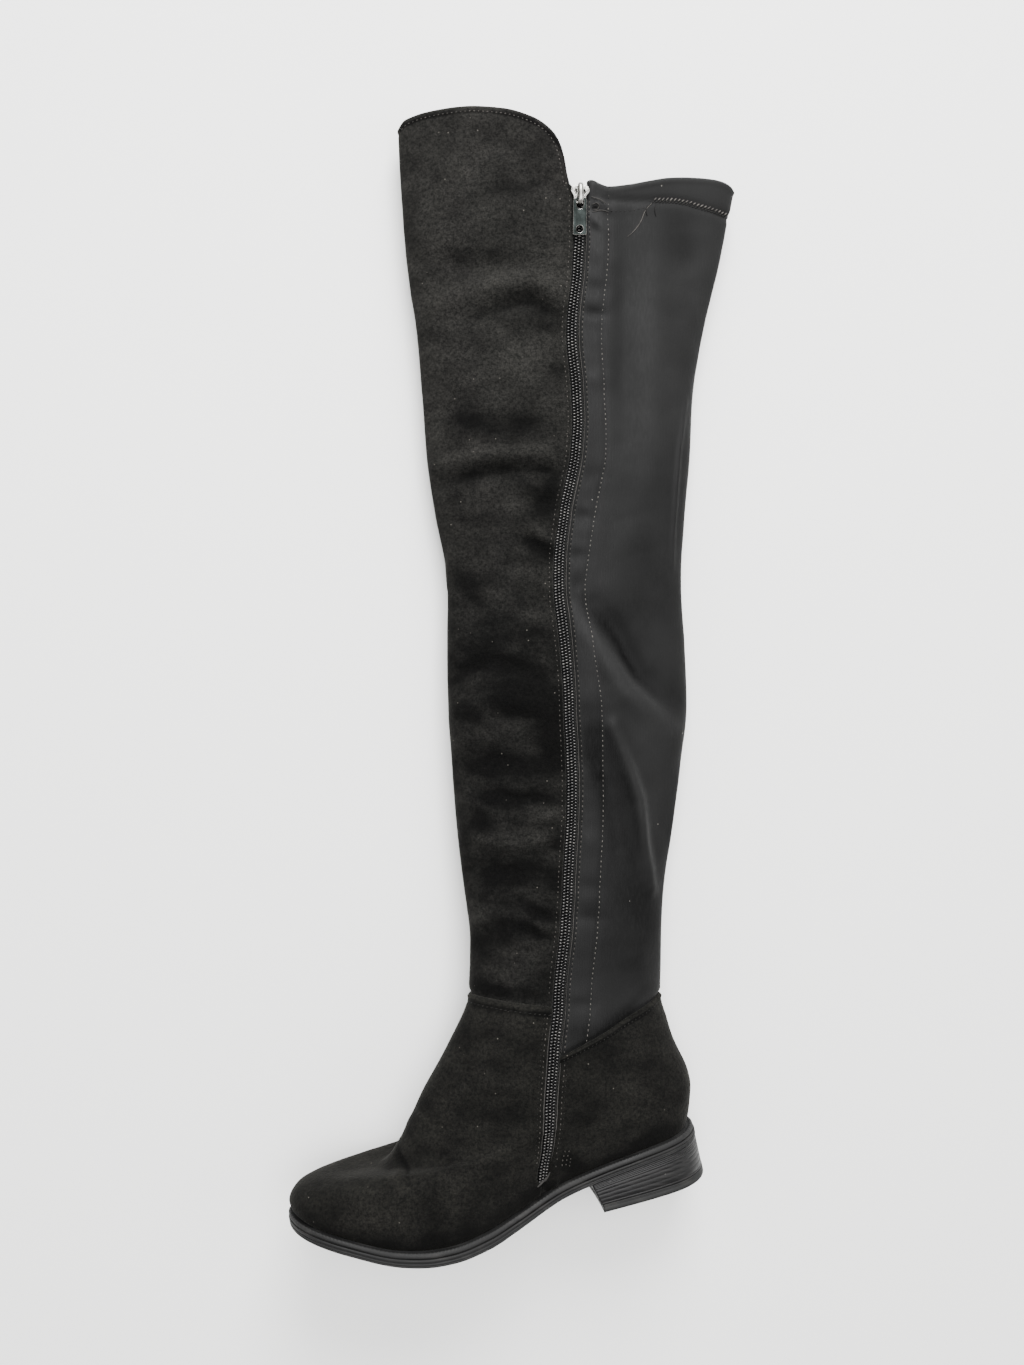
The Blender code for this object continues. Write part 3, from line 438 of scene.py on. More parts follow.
outerToneAndPaintedShade = (
    (-0.8, 8, -184, 596, -130, 588), (0.7, 8, -176, 572, -120, 566),
    (0.5, 14, -160, 646, -130, 640), (-0.7, 10, -150, 500, -110, 494),
    (-1, 8, -172, 452, -110, 458), (0.6, 9, -150, 400, -120, 404), (-1, 10, -150, 268, -104, 262),
    (0.8, 6, -156, 228, -104, 222), (-1, 7, -150, 194, -104, 198),
    (0.9, 9, -70, 372, -46, 330, -22, 296), (-0.9, 8, -56, 390, -28, 332),
    (-0.6, 12, -70, 280, -60, 230), (0.6, 9, -228, -6, -206, -10), (-0.7, 9, -181, 2, -178, -18),
    (0.4, 14, -66, 58, -42, 72),
)


def sidesAt(angle):  # how far a point is on the inner side, and how far on the outer
    swing = np.sin(np.ravel(angle))
    return smoothStep(0.03, 0.34, swing), smoothStep(0.03, 0.34, -swing)


def strokesAt(points, folds):  # how much the folds or strokes of a table add up to
    total = np.zeros(len(points))
    for lift, half, *path in folds:
        path = np.reshape(np.array(path, float), (-1, 2))
        length = lengthAlong(path)
        best = np.full(len(points), 1e9)
        at = np.zeros(len(points))
        for n in range(len(path) - 1):
            leg = path[n + 1] - path[n]
            size = np.linalg.norm(leg)
            t = np.clip((points - path[n]) @ leg / size**2, 0.0, 1.0)
            far = np.linalg.norm(points - path[n] - t[:, None] * leg, axis=1)
            nearer = far < best
            best[nearer] = far[nearer]
            at[nearer] = (length[n] + t[nearer] * size) / length[-1]
        fade = 0.45 + 0.55 * np.sin(np.pi * at)
        total += lift * fade * hump(best, 0.0, half)
    return total


def softNoise(points, size, shift):
    return np.array([noise.noise(Vector(p) / size + Vector((shift, 0.0, 0.0))) for p in points])


def reliefAt(height, angle):  # how far folds and slackness lift the cloth off the plain skin
    shape = np.broadcast(height, angle).shape
    height = np.ravel(np.broadcast_to(height, shape))
    angle = np.ravel(np.broadcast_to(angle, shape))
    points = skinAt(height, angle)
    inner, outer = sidesAt(angle)
    plan = points[:, :2]
    shaft = smoothStep(118.0, 150.0, height)
    lift = inner * strokesAt(plan, innerFolds) + outer * strokesAt(plan, outerFolds)
    lift += strokesAt(plan, bothFolds)
    broad = softNoise(points, 46.0, 3.0) * (0.5 + 0.7 * shaft)
    small = softNoise(points, 15.0, 9.0) * (0.22 + 0.22 * shaft)
    lift += inner * (broad + small) - outer * 0.7 * (np.abs(broad) + np.abs(small))
    lift += (1 - inner - outer) * 0.4 * small
    return lift.reshape(shape)


def toneAndPaintedShadeAt(height, angle):  # tone of the brushed nap with painted shade and highlights along the folds, darker low on the shaft, and painted shade where the foot meets the welt
    points = skinAt(height, angle).reshape(-1, 3)[:, :2]
    inner, outer = sidesAt(angle)
    toneAndPaintedShade = inner * strokesAt(points, innerToneAndPaintedShade) + outer * strokesAt(points, outerToneAndPaintedShade)
    high = np.ravel(height)
    toneAndPaintedShade += 0.35 - 0.95 * smoothStep(560.0, 330.0, high) + 0.4 * smoothStep(200.0, 110.0, high)
    # painted shade where the foot meets the welt
    toneAndPaintedShade -= 1.1 * hump(high, 0.0, 7.0)
    return toneAndPaintedShade.reshape(np.shape(height))


# the plan is moved so that the pull's hinge lies where the frame has it
sliderAt = np.array([boot["sliderAt"]])
sliderCentre = skinAt(sliderAt, zipAngle(sliderAt))[0]
sliderOut = outwardAt(sliderAt, zipAngle(sliderAt))[0]
below = sliderAt - 6.0
sliderDown = skinAt(below, zipAngle(below))[0] - sliderCentre
sliderDown -= sliderOut * np.dot(sliderDown, sliderOut)
sliderDown /= np.linalg.norm(sliderDown)
sliderAcross = np.cross(sliderDown, sliderOut)
hingePoint = sliderCentre + sliderDown * boot["hingeDown"]
hingePoint += sliderOut * (boot["sliderTop"] + boot["pinRoom"])
place = np.array(frame["joints"][0]["pos_m"]) / mm - hingePoint
print("boot placed at", np.round(place, 2))


# ---- meshes
def putInScene(name, data):
    made = bpy.data.objects.new(name, data)
    bpy.context.scene.collection.objects.link(made)
    return made


def solidOf(holder):  # the mesh that an object's curve or nodes give, in place of the object
    bpy.context.view_layer.update()
    graph = bpy.context.evaluated_depsgraph_get()
    mesh = bpy.data.meshes.new_from_object(holder.evaluated_get(graph))
    bpy.data.objects.remove(holder)
    return mesh


def makeMesh(name, points, faces, finishes, faceFinish=None, fixNormals=False, toneAndPaintedShade=None):
    mesh = bpy.data.meshes.new(name)
    mesh.from_pydata(((np.asarray(points) + place) * mm).tolist(), [], faces)
    for finish in finishes:
        mesh.materials.append(finish)
    if faceFinish is not None:
        mesh.polygons.foreach_set("material_index", np.asarray(faceFinish, dtype=np.int32))
    if fixNormals:
        shape = bmesh.new()
        shape.from_mesh(mesh)
        bmesh.ops.recalc_face_normals(shape, faces=shape.faces)
        shape.to_mesh(mesh)
        shape.free()
    mesh.shade_smooth()
    if toneAndPaintedShade is not None:
        held = mesh.attributes.new("toneAndPaintedShade", "FLOAT", "POINT")
        held.data.foreach_set("value", np.asarray(toneAndPaintedShade, dtype=np.float32))
    return putInScene(name, mesh)


def shellOf(name, outer, under, finishes, toneAndPaintedShade):  # a wall of cloth with rounded edges
    rows, columns = outer.shape[:2]
    index = np.arange(rows * columns).reshape(rows, columns)
    shift = rows * columns
    a, b = index[:-1, :-1].ravel(), index[:-1, 1:].ravel()
    c, d = index[1:, 1:].ravel(), index[1:, :-1].ravel()
    outerFaces = np.stack([a, b, c, d], axis=1)
    underFaces = np.stack([d, c, b, a], axis=1) + shift
    border = np.concatenate([index[0, :-1], index[:-1, -1], index[-1, :0:-1], index[:0:-1, 0]])
    inward = np.concatenate([index[1, :-1], index[:-1, -2], index[-2, :0:-1], index[:0:-1, 1]])
    top, low = outer.reshape(-1, 3), under.reshape(-1, 3)
    away = top[border] - top[inward]
    away /= np.maximum(np.linalg.norm(away, axis=1, keepdims=True), 1e-9)
    wall = np.linalg.norm(top[border] - low[border], axis=1, keepdims=True)
    middle = 0.5 * (top[border] + low[border]) + away * wall * 0.5
    ring = 2 * shift + np.arange(len(border))
    nextRing, nextBorder = np.roll(ring, -1), np.roll(border, -1)
    upperRim = np.stack([nextBorder, border, ring, nextRing], axis=1)
    lowerRim = np.stack([nextRing, ring, border + shift, nextBorder + shift], axis=1)
    faces = np.vstack([outerFaces, upperRim, lowerRim, underFaces])
    finish = np.zeros(len(faces), dtype=np.int32)
    finish[-len(underFaces):] = 1
    points = np.vstack([top, low, middle])
    toneAndPaintedShade = np.concatenate([toneAndPaintedShade.ravel(), toneAndPaintedShade.ravel(), toneAndPaintedShade.ravel()[border]])
    return makeMesh(name, points, faces.tolist(), finishes, finish, toneAndPaintedShade=toneAndPaintedShade)


def wallFaces(loopCount, count, closed=False):  # four-sided faces from loop to loop of points
    faces = []
    for k in range(loopCount if closed else loopCount - 1):
        first, second = k * count, (k + 1) % loopCount * count
        faces += [(first + n, first + (n + 1) % count, second + (n + 1) % count, second + n)
                  for n in range(count)]
    return faces


def fannedFaces(loopCount, count):  # walls, and a fan at each end round one of two last points
    low = loopCount * count
    faces = wallFaces(loopCount, count)
    for n in range(count):
        m = (n + 1) % count
        faces += [(low, m, n), (low + 1, low - count + n, low - count + m)]
    return faces


def edgeProfile(distance, bead, drop):  # a turned edge: a soft bead, then down into the slot
    d = np.maximum(distance, 0.0)
    return bead * hump(d, 1.5, 1.3) - drop * hump(d, 0.0, 0.8)


def stitchDip(distance, at, deep, half=1.0):
    return -deep * hump(distance, at, half)


def panelGrid(low, high, edges, shares, turns, guess):
    height = np.full((len(shares), len(turns)), guess)
    for _ in range(6):
        first, last = edges(height)
        angle = first + (last - first) * turns[None, :]
        base = low(angle)
        height = base + (high(angle) - base) * shares[:, None]
    return height, angle


def zipDistance(height, angle):  # how far round the boot from the zip's middle, in mm
    edge = zipAngle(height)
    return (angle - edge) * spanAt(height, edge) / (2 * smallTurn)


# ---- materials
def hexColour(code):  # sRGB hex to linear
    parts = [int(code[n:n + 2], 16) / 255 for n in (1, 3, 5)]
    linear = [p / 12.92 if p <= 0.04045 else ((p + 0.055) / 1.055) ** 2.4 for p in parts]
    return (*linear, 1.0)


def feed(node, inputs):  # a value or another node's output into each socket
    for socket, value in inputs.items():
        if isinstance(value, bpy.types.NodeSocket):
            node.id_data.links.new(value, node.inputs[socket])
        else:
            node.inputs[socket].default_value = value


def addNode(tree, kind, inputs, output=0, **settings):  # gives the new node's output
    made = tree.nodes.new(kind)
    for name, value in settings.items():
        setattr(made, name, value)
    feed(made, inputs)
    return made.outputs[output]


def makeFinish(name, wiring, noises, colours, gloss=None, bumps=(), waves=(), products=(),
               sums=(), lintMm=None, shift=0.0):
    # Noises have a size in mm, detail, stretch and turn, and waves a size, direction, distortion,
    # detail and its scale. A term is a pattern, the range read from it and the range it gives.
    # Each colour lies over the last by the product of its terms. Bumps have a depth in mm.
    # The mesh's attribute holds the nap's tone with painted shade and highlights, and a tape's
    # cords; "lint" are specks in some of the cells.
    made = bpy.data.materials.new(name)
    made.use_nodes = True
    tree = made.node_tree
    coords = addNode(tree, "ShaderNodeTexCoord", {}, "Object")
    coords = addNode(tree, "ShaderNodeMapping", {"Vector": coords, "Location": (shift,) * 3})
    seen = {"toneAndPaintedShade": addNode(tree, "ShaderNodeAttribute", {}, "Fac", attribute_name="toneAndPaintedShade")}
    for key, size, detail, stretch, turn in noises:
        laid = addNode(tree, "ShaderNodeMapping", {
            "Vector": coords, "Rotation": (0.0, 0.0, turn), "Scale": stretch})
        seen[key] = addNode(tree, "ShaderNodeTexNoise", {
            "Vector": laid, "Scale": 1.0 / (size * mm), "Detail": detail})
    for key, size, direction, distortion, detail, detailScale in waves:
        seen[key] = addNode(tree, "ShaderNodeTexWave", {
            "Vector": coords, "Scale": 0.314 / (size * mm), "Distortion": distortion,
            "Detail": detail, "Detail Scale": detailScale}, "Fac", bands_direction=direction)
    if lintMm:
        seen["lint"] = addNode(tree, "ShaderNodeTexVoronoi", {
            "Vector": coords, "Scale": 1.0 / (lintMm * mm)}, "Distance")
        seen["lintChance"] = seen["lint"].node.outputs["Color"]
    for key, first, second in products:
        seen[key] = addNode(tree, "ShaderNodeMath", {0: seen[first], 1: seen[second]},
                            operation="MULTIPLY")
    for key, *parts in sums:
        seen[key] = 0.0
        for part, weight in parts:
            seen[key] = addNode(tree, "ShaderNodeMath", {
                0: seen[part], 1: weight, 2: seen[key]}, operation="MULTIPLY_ADD")
    colour = hexColour(colours[0])
    for code, *terms in colours[1:]:
        share = 1.0
        for pattern, start, end, least, most in terms:
            shown = addNode(tree, "ShaderNodeMapRange", {
                "Value": seen[pattern], "From Min": start, "From Max": end, "To Min": least,
                "To Max": most})
            share = addNode(tree, "ShaderNodeMath", {0: shown, 1: share}, operation="MULTIPLY")
        colour = addNode(tree, "ShaderNodeMix", {0: share, 6: colour, 7: hexColour(code)}, 2,
                         data_type="RGBA")
    wiring = {**wiring, "Base Color": colour}
    if gloss:
        pattern, start, end, least, most = gloss
        wiring["Roughness"] = addNode(tree, "ShaderNodeMapRange", {
            "Value": seen[pattern], "From Min": start, "From Max": end, "To Min": least,
            "To Max": most})
    under = {}
    for pattern, deep, strength in bumps:
        under["Normal"] = addNode(tree, "ShaderNodeBump", {
            "Height": seen[pattern], "Distance": deep * mm, "Strength": strength, **under},
            "Normal")
    feed(tree.nodes["Principled BSDF"], {**wiring, **under})
    return made


even = ((1.0, 1.0, 1.0), 0.0)          # a noise with no stretch and no turn
footTurn = math.radians(-boot["footTurn"])


def below(pattern, limit):  # a term that is 1 under a limit and 0 over it
    return (pattern, limit - 0.0001, limit, 1.0, 0.0)


suedeLook = {
    "patchMm": 30.0,      # patches where the nap lies another way
    "streakMm": 12.0,
    "tuftMm": 1.1,        # tufts of nap; single fibres are too fine to show
    "pileMm": 2.3,
    "tuftDeep": 0.3,      # mm of bump
    "pileDeep": 0.6,
    "lintEveryMm": 8.0,
    "lintShare": 0.5,     # how many of the cells hold a speck
    "lint": "#4e4b46",
}


def fauxSuede(name, dark, light, tuftLight, sheen, shift):
    # knitted polyester with a brushed nap: no gloss, paler where it is seen edge on, and
    # blotched where the nap lies another way; the mesh's attribute adds painted shade and painted
    # highlights along its folds, rims and the welt
    look = suedeLook
    return makeFinish(
        name, {"Roughness": 0.96, "IOR": 1.45, "Specular IOR Level": 0.06, "Sheen Weight": sheen,
               "Sheen Roughness": 0.45, "Sheen Tint": hexColour("#b2b0aa")},
        [("patch", look["patchMm"], 3.0, *even),
         ("streak", look["streakMm"], 5.0, (0.5, 1.0, 1.0), 0.35),
         ("tuft", look["tuftMm"], 2.0, *even), ("pile", look["pileMm"], 3.0, *even)],
        [dark, (light, ("laid", 0.52, 1.5, 0.0, 1.0)),
         (tuftLight, ("matted", 0.74, 1.36, 0.0, 1.0), ("laid", 0.618, 1.5, 0.08, 0.9)),
         (look["lint"], ("lint", 0.02, 0.07, 0.9, 0.0), below("lintChance", look["lintShare"]))],
        bumps=[("pile", look["pileDeep"], 0.7), ("tuft", look["tuftDeep"], 0.7)],
        lintMm=look["lintEveryMm"], shift=shift,
        sums=[("laid", ("patch", 1.0), ("streak", 1.0), ("toneAndPaintedShade", 0.34)),
              ("matted", ("pile", 1.0), ("tuft", 1.0))])


stretchLook = {"patchMm": 55.0, "slubMm": 1.2, "ribMm": 1.1, "lintEveryMm": 15.0,
               "lintShare": 0.45, "lintReach": 0.03, "dark": "#010101", "light": "#181818",
               "slub": "#161616", "lint": "#5c5955"}


def stretchKnit(name):
    # fine nylon and elastane knit: satin, with slubs and faint ribs up the leg, and painted shade
    # and painted highlights along its folds from the mesh's attribute
    look = stretchLook
    return makeFinish(
        name, {"IOR": 1.5, "Specular IOR Level": 0.1, "Sheen Weight": 0.05,
               "Sheen Roughness": 0.3, "Sheen Tint": hexColour("#c4c2c0")},
        [("patch", look["patchMm"], 3.0, *even),
         ("slub", look["slubMm"], 2.0, (1.0, 0.22, 1.0), 0.0)],
        [look["dark"], (look["light"], ("patchesAndPaintedShade", 0.02, 0.86, 0.0, 1.0)),
         (look["slub"], ("slub", 0.45, 0.8, 0.0, 0.4)),
         (look["lint"], below("lint", look["lintReach"]), below("lintChance", look["lintShare"]))],
        gloss=("slub", 0.3, 0.7, 0.56, 0.7), bumps=[("slub", 0.22, 0.35), ("rib", 0.1, 0.25)],
        waves=[("rib", look["ribMm"], "X", 1.5, 2.0, 3.0)], lintMm=look["lintEveryMm"],
        sums=[("patchesAndPaintedShade", ("toneAndPaintedShade", 0.36), ("patch", 1.0))])


def knitLining(name, dark, light):
    # brushed tricot lining: matt, almost black
    return makeFinish(
        name, {"Roughness": 0.95, "IOR": 1.45, "Specular IOR Level": 0.2},
        [("fuzz", 1.6, 2.0, *even), ("broad", 30.0, 2.0, *even)],
        [dark, (light, ("both", 0.1, 0.42, 0.0, 1.0))], bumps=[("fuzz", 0.3, 0.5)],
        products=[("both", "fuzz", "broad")])


def wovenTape(name):
    # polyester zip tape: a tight twill that catches a little light, paler on its cords
    return makeFinish(
        name, {"Roughness": 0.7, "IOR": 1.5, "Specular IOR Level": 0.08},
        [("wearAndPaintedRim", 9.0, 3.0, *even)], ["#010102", ("#1c1c1b", ("rubbed", 0.2, 0.95, 0.0, 1.0))],
        bumps=[("twill", 0.2, 0.6)], waves=[("twill", 1.0, "DIAGONAL", 0.8, 1.0, 2.0)],
        products=[("both", "twill", "wearAndPaintedRim")], sums=[("rubbed", ("toneAndPaintedShade", 0.7), ("both", 1.0))])


def nylonCoil(name, dark, light, roughness, shine):
    # extruded nylon monofilament: black and smooth, each turn with its own glint
    return makeFinish(
        name, {"IOR": 1.53, "Specular IOR Level": shine}, [("dust", 6.0, 4.0, *even)],
        [dark, (light, ("dust", 0.45, 0.75, 0.0, 1.0))],
        gloss=("dust", 0.4, 0.8, roughness - 0.05, roughness + 0.15))


def sewingThread(name, dark, light):
    # spun polyester: dull, slightly hairy
    return makeFinish(
        name, {"Roughness": 0.68, "IOR": 1.5, "Specular IOR Level": 0.15},
        [("shade", 5.0, 3.0, *even), ("ply", 0.6, 1.0, *even)],
        [dark, (light, ("shade", 0.35, 0.65, 0.0, 1.0))], bumps=[("ply", 0.12, 0.6)])


def mouldedRubber(name, dark, light, scuff, roughness):
    # injection moulded thermoplastic rubber: dull grey, dusty and rubbed on its edges
    return makeFinish(
        name, {"IOR": 1.5, "Specular IOR Level": 0.28},
        [("cloud", 24.0, 4.0, *even), ("grit", 1.1, 3.0, *even),
         ("rub", 6.0, 5.0, (0.3, 1.0, 1.0), footTurn)],
        [dark, (light, ("cloud", 0.35, 0.65, 0.0, 1.0)), (scuff, ("rub", 0.54, 0.74, 0.0, 0.7)),
         (scuff, ("grit", 0.55, 0.8, 0.0, 0.4))],
        gloss=("cloud", 0.3, 0.7, roughness - 0.08, roughness + 0.1),
        bumps=[("grit", 0.15, 0.5)])


def stackedHeel(name):
    # moulded to look like stacked lifts: satin, with fine streaks along each lift and nicks
    return makeFinish(
        name, {"IOR": 1.5, "Specular IOR Level": 0.22},
        [("streak", 1.4, 3.0, (0.035, 1.0, 0.3), footTurn),
         ("cloud", 22.0, 3.0, (0.4, 1.0, 1.0), footTurn),
         ("nick", 1.6, 2.0, (0.16, 1.0, 1.0), footTurn)],
        ["#060607", ("#0c0c0c", ("cloud", 0.35, 0.65, 0.0, 1.0)),
         ("#1f1e1e", ("streak", 0.42, 0.7, 0.0, 0.7)), ("#85827d", ("nick", 0.74, 0.79, 0.0, 0.8))],
        gloss=("streak", 0.3, 0.7, 0.4, 0.56), bumps=[("streak", 0.12, 0.5)])


def platedMetal(name, dark, light, roughness):
    # die-cast zinc, plated and tumbled: bright, with hairline scratches
    return makeFinish(
        name, {"Metallic": 1.0},
        [("cloud", 5.0, 4.0, *even), ("hair", 0.8, 3.0, (1.0, 0.12, 1.0), 0.4)],
        [dark, (light, ("cloud", 0.35, 0.7, 0.0, 1.0))],
        gloss=("hair", 0.35, 0.7, roughness - 0.05, roughness + 0.12))


finishes = {
    "shaftSuede": fauxSuede("faux suede, brushed", "#030303", "#121211", "#2a2927", 0.08, 0.0),
    # the same suede, darker on the foot: painted shade where the light falls off
    "footSuedePaintedShade": fauxSuede("faux suede, foot, darker as painted shade", "#040404", "#0e0e0d", "#23221f", 0.06, 1.7),
    "stretch": stretchKnit("stretch satin knit"),
    "lining": knitLining("brushed tricot lining", "#0a0a0b", "#191919"),
    "insole": knitLining("insole cloth over foam", "#101011", "#262525"),
    "tape": wovenTape("woven zip tape"),
    "coil": nylonCoil("nylon zip coil", "#010102", "#050505", 0.5, 0.12),
    # pale beads on the coil's heads and bends: painted glints
    "coilGlintHead": nylonCoil("nylon zip coil, heads pale as painted glints", "#2b2a29", "#5a5855", 0.35, 0.5),
    # near black, for dark beads in needle holes and hollows: painted shade
    "paintedShadeHoles": knitLining("needle holes and hollows, painted shade", "#010101", "#040404"),
    # pale, for tubes along edges and folds: painted highlight
    "paintedHighlightFold": knitLining("fold of cloth, painted highlight", "#242322", "#3b3937"),
    "sunkThread": sewingThread("polyester thread, sunk in the nap", "#050505", "#0f0e0d"),
    "darkThread": sewingThread("polyester thread, black", "#080807", "#171614"),
    "thread": sewingThread("polyester thread", "#21201e", "#383532"),
    "palerThread": sewingThread("overlock thread", "#33312f", "#504d49"),
    "welt": mouldedRubber("moulded rubber welt", "#060606", "#0e0e0e", "#222120", 0.66),
    "sole": mouldedRubber("thermoplastic rubber sole", "#060606", "#0d0d0d", "#1e1d1c", 0.68),
    "topLift": mouldedRubber("rubber top lift", "#070707", "#101010", "#242321", 0.66),
    "heel": stackedHeel("moulded stacked heel"),
    "nickel": platedMetal("nickel plated zinc", "#7c7b78", "#a9a8a4", 0.22),
    "darkPlate": platedMetal("black nickel plated zinc", "#141716", "#262a29", 0.36),
}
print("materials ready,", len(finishes))


def finishPiece(made, nodes=(), body="boot"):
    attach(made, body)
    if nodes:
        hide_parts(*nodes)
    return made


slotFoot = {"slotFront": (6.2, 8.0), "slotBack": (7.4, 9.6)}


def evenShares(count, top, angle, mix):  # rows spread by length along the ridge
    fine = np.linspace(0.0, top, 500)
    length = lengthAlong(skinAt(fine, np.full(500, angle)))
    blend = mix * length / length[-1] + (1 - mix) * fine / top
    return np.interp(np.linspace(0.0, 1.0, count + 1), blend, fine / top)


seamGap = 0.004          # between the panels at the outer seam, as an angle


def slotAt(height, side):  # the slot closes on a slant under the zip's foot
    low, high = slotFoot[side]
    return boot[side] * smoothStep(low, high, height) + 0.1


# ---- foot: vamp and counter
foot = {
    "vampRows": 96, "vampColumns": 250,
    "counterRows": 76, "counterColumns": 165,
    "rimBead": 1.3,        # the folded top edge stands this proud
    "vampStitch": 3.8, "counterStitch": 3.6,   # how far under the rim they are sewn
    "stitchDeep": 0.45, "zipStitchDeep": 0.3,
    "slotEdge": (0.45, 1.5),   # bead and drop of the turned edge
    "seamDeep": 0.7,
    "crowding": 1.16,      # how much closer the columns lie at the zip
    "searchFrom": 60.0,    # height at which the search for the rows starts
    "zipStitch": (2.7, 4.6),
    "tuck": 0.9,           # how far the upper draws in over the welt
}


def footLift(height, angle, rim):
    lift = reliefAt(height, angle)
    reach = zipDistance(height, angle)
    slotDistance = np.where(reach < 0, -reach - slotAt(height, "slotFront"),
                            reach - slotAt(height, "slotBack"))
    seamDistance = np.minimum(np.abs(zipDistance(height, -angle)),
                              np.abs(zipDistance(height, 2 * math.pi - angle)))
    below = rim(angle) - height
    ridge = 0.35 + 0.65 * smoothStep(0.0, 0.4, np.abs(np.sin(angle)))
    lift += foot["rimBead"] * ridge * hump(below, 1.7, 1.7)
    lift -= 0.9 * hump(below, 0.0, 0.7)
    lift += stitchDip(below, foot["vampStitch"], foot["stitchDeep"])
    lift += edgeProfile(slotDistance, *foot["slotEdge"]) * smoothStep(2.0, 12.0, height)
    for at in foot["zipStitch"]:
        lift += (stitchDip(slotDistance, at, foot["zipStitchDeep"])
                 * smoothStep(14.0, 24.0, height))
    lift -= foot["seamDeep"] * hump(seamDistance, 0.0, boot["seamHalf"])
    lift -= foot["tuck"] * hump(height, 0.0, 2.2)
    return lift


def vampLift(height, angle):
    return footLift(height, angle, ankleSeam)


def counterLift(height, angle):
    return footLift(height, angle, counterSeam)


def paintedRimLight(distance, stitchAt):  # painted highlight along a turned edge, painted shade along the groove of its stitches
    return 1.1 * hump(distance, 0.8, 0.9) - 1.6 * hump(distance, stitchAt, 1.2)


def walled(name, height, angle, lift, wall, finishes, wearAndPaintedRim):  # a wall of cloth over the skin
    skin, outward = skinAt(height, angle), outwardAt(height, angle)
    down = -outward[..., 2]      # what lies on the floor is pressed flat by it
    lift = np.where(down > 0.2, np.minimum(lift, (skin[..., 2] + place[2] - 0.15)
                                           / np.maximum(down, 0.2)), lift)
    outer = skin + outward * lift[..., None]
    under = skin + outward * (lift - wall)[..., None]
    # nap tone with painted shade and highlights of the folds, the welt and the rims
    return shellOf(name, outer, under, finishes, toneAndPaintedShadeAt(height, angle) + wearAndPaintedRim)


def frontPanel(slot):  # a front panel's edges: the outer seam, then the slot of the zip
    def edges(height):
        edge = zipAngle(height)
        return -edge + seamGap, besideAt(height, edge, -slot(height, "slotFront"))
    return edges


def backPanel(slot):
    def edges(height):
        edge = zipAngle(height)
        return besideAt(height, edge, slot(height, "slotBack")), 2 * math.pi - edge - seamGap
    return edges


def crowded(count, power, atEnd):  # shares from 0 to 1, closer together at one end
    even = np.linspace(0.0, 1.0, count + 1)
    return 1.0 - (1.0 - even) ** power if atEnd else even**power


def layPanel(name, node, rim, tuck, edges, shares, turns, sizes, lift, wall, finish,
             stitchAt=None):
    # from the rim of the part below, less what is tucked in, up to its own rim
    low, high = rim
    height, angle = panelGrid(lambda a: low(a) - tuck, high, edges, shares, turns,
                              sizes["searchFrom"])
    # painted highlight on the rim, painted shade at its stitches
    wearAndPaintedRim = paintedRimLight(high(angle) - height, stitchAt) if stitchAt else 0.0
    made = walled(name, height, angle, lift(height, angle), boot[wall],
                  [finishes[finish], finishes["lining"]], wearAndPaintedRim)
    finishPiece(made, [node])


def featherEdge(angle):
    return 0.0 * angle


layPanel("vamp", "upper", (featherEdge, ankleSeam), 0.0, frontPanel(slotAt),
         evenShares(foot["vampRows"], boot["ankleSeam"], 0.0, 0.72),
         crowded(foot["vampColumns"], foot["crowding"], True), foot, vampLift, "upperWall",
         "footSuedePaintedShade", foot["vampStitch"])
layPanel("heel_counter", "upper", (featherEdge, counterSeam), 0.0,
         backPanel(slotAt), evenShares(foot["counterRows"], boot["counterHigh"], math.pi, 0.3),
         crowded(foot["counterColumns"], foot["crowding"], False), foot, counterLift, "upperWall",
         "footSuedePaintedShade", foot["counterStitch"])
print("foot ready")

# ---- shaft: suede front with its flap, stretch back with its hem
shaft = {
    "rows": 288, "frontColumns": 96, "backColumns": 96, "crowding": 1.22, "searchFrom": 400.0,
    "tuckDown": 5.0, "tuckDeep": 1.9,   # cloth that goes down behind the foot's rim
    "seamDeep": 0.6,
    # bead and drop of each turned edge
    "slotEdge": (0.5, 1.3), "flapEdge": (0.55, 0.9), "backEdge": (0.5, 1.2), "hemEdge": (0.6, 0.9),
    "placketThick": 0.35,  # doubled cloth between the zip and its outer stitches
    "flapStitch": 3.6, "zipStitch": 2.5, "backStitch": 1.9,   # from the edge to the stitches
    "flapStitchDeep": 0.4, "zipStitchDeep": 0.35, "backStitchDeep": 0.3, "placketDeep": 0.5,
    "hemThick": 0.5,
    "pucker": 0.3,        # small gathers between the zip and the placket's stitches
    "puckerMm": 15.0,
}
placketWidth = (
    (90, 21), (216, 21), (316, 21.8), (361, 17.5), (394, 17.2), (426, 19.8),
    (476, 20.8), (521, 18.6), (576, 19.9), (664, 19.2),
)


def evenSlot(height, side):  # as wide all the way up
    return boot[side]


def rimSlope(rim, height, angle):  # sine and cosine of a rim's slope, and its span
    rise = rim(angle + smallTurn) - rim(angle - smallTurn)
    run = spanAt(height, angle)
    size = np.hypot(rise, run)
    return rise / size, run / size, run


def underRim(rim, height, angle):  # the true distance under a rim
    return (rim(angle) - height) * rimSlope(rim, height, angle)[1]


def puckers(height, distance, reach, seed):
    wave = np.sin(2 * math.pi * height / shaft["puckerMm"] + 1.7 * np.sin(height / 23.0 + seed)
                  + distance * 0.08)
    gate = 0.5 + 0.5 * np.sin(height / 31.0 + 2.0 * seed)
    return shaft["pucker"] * wave * gate * hump(distance, reach, reach)


def tuckedIn(over):  # the shaft's cloth goes down behind the foot's rim
    return shaft["tuckDeep"] * (1.0 - smoothStep(-0.5, 4.5, over))


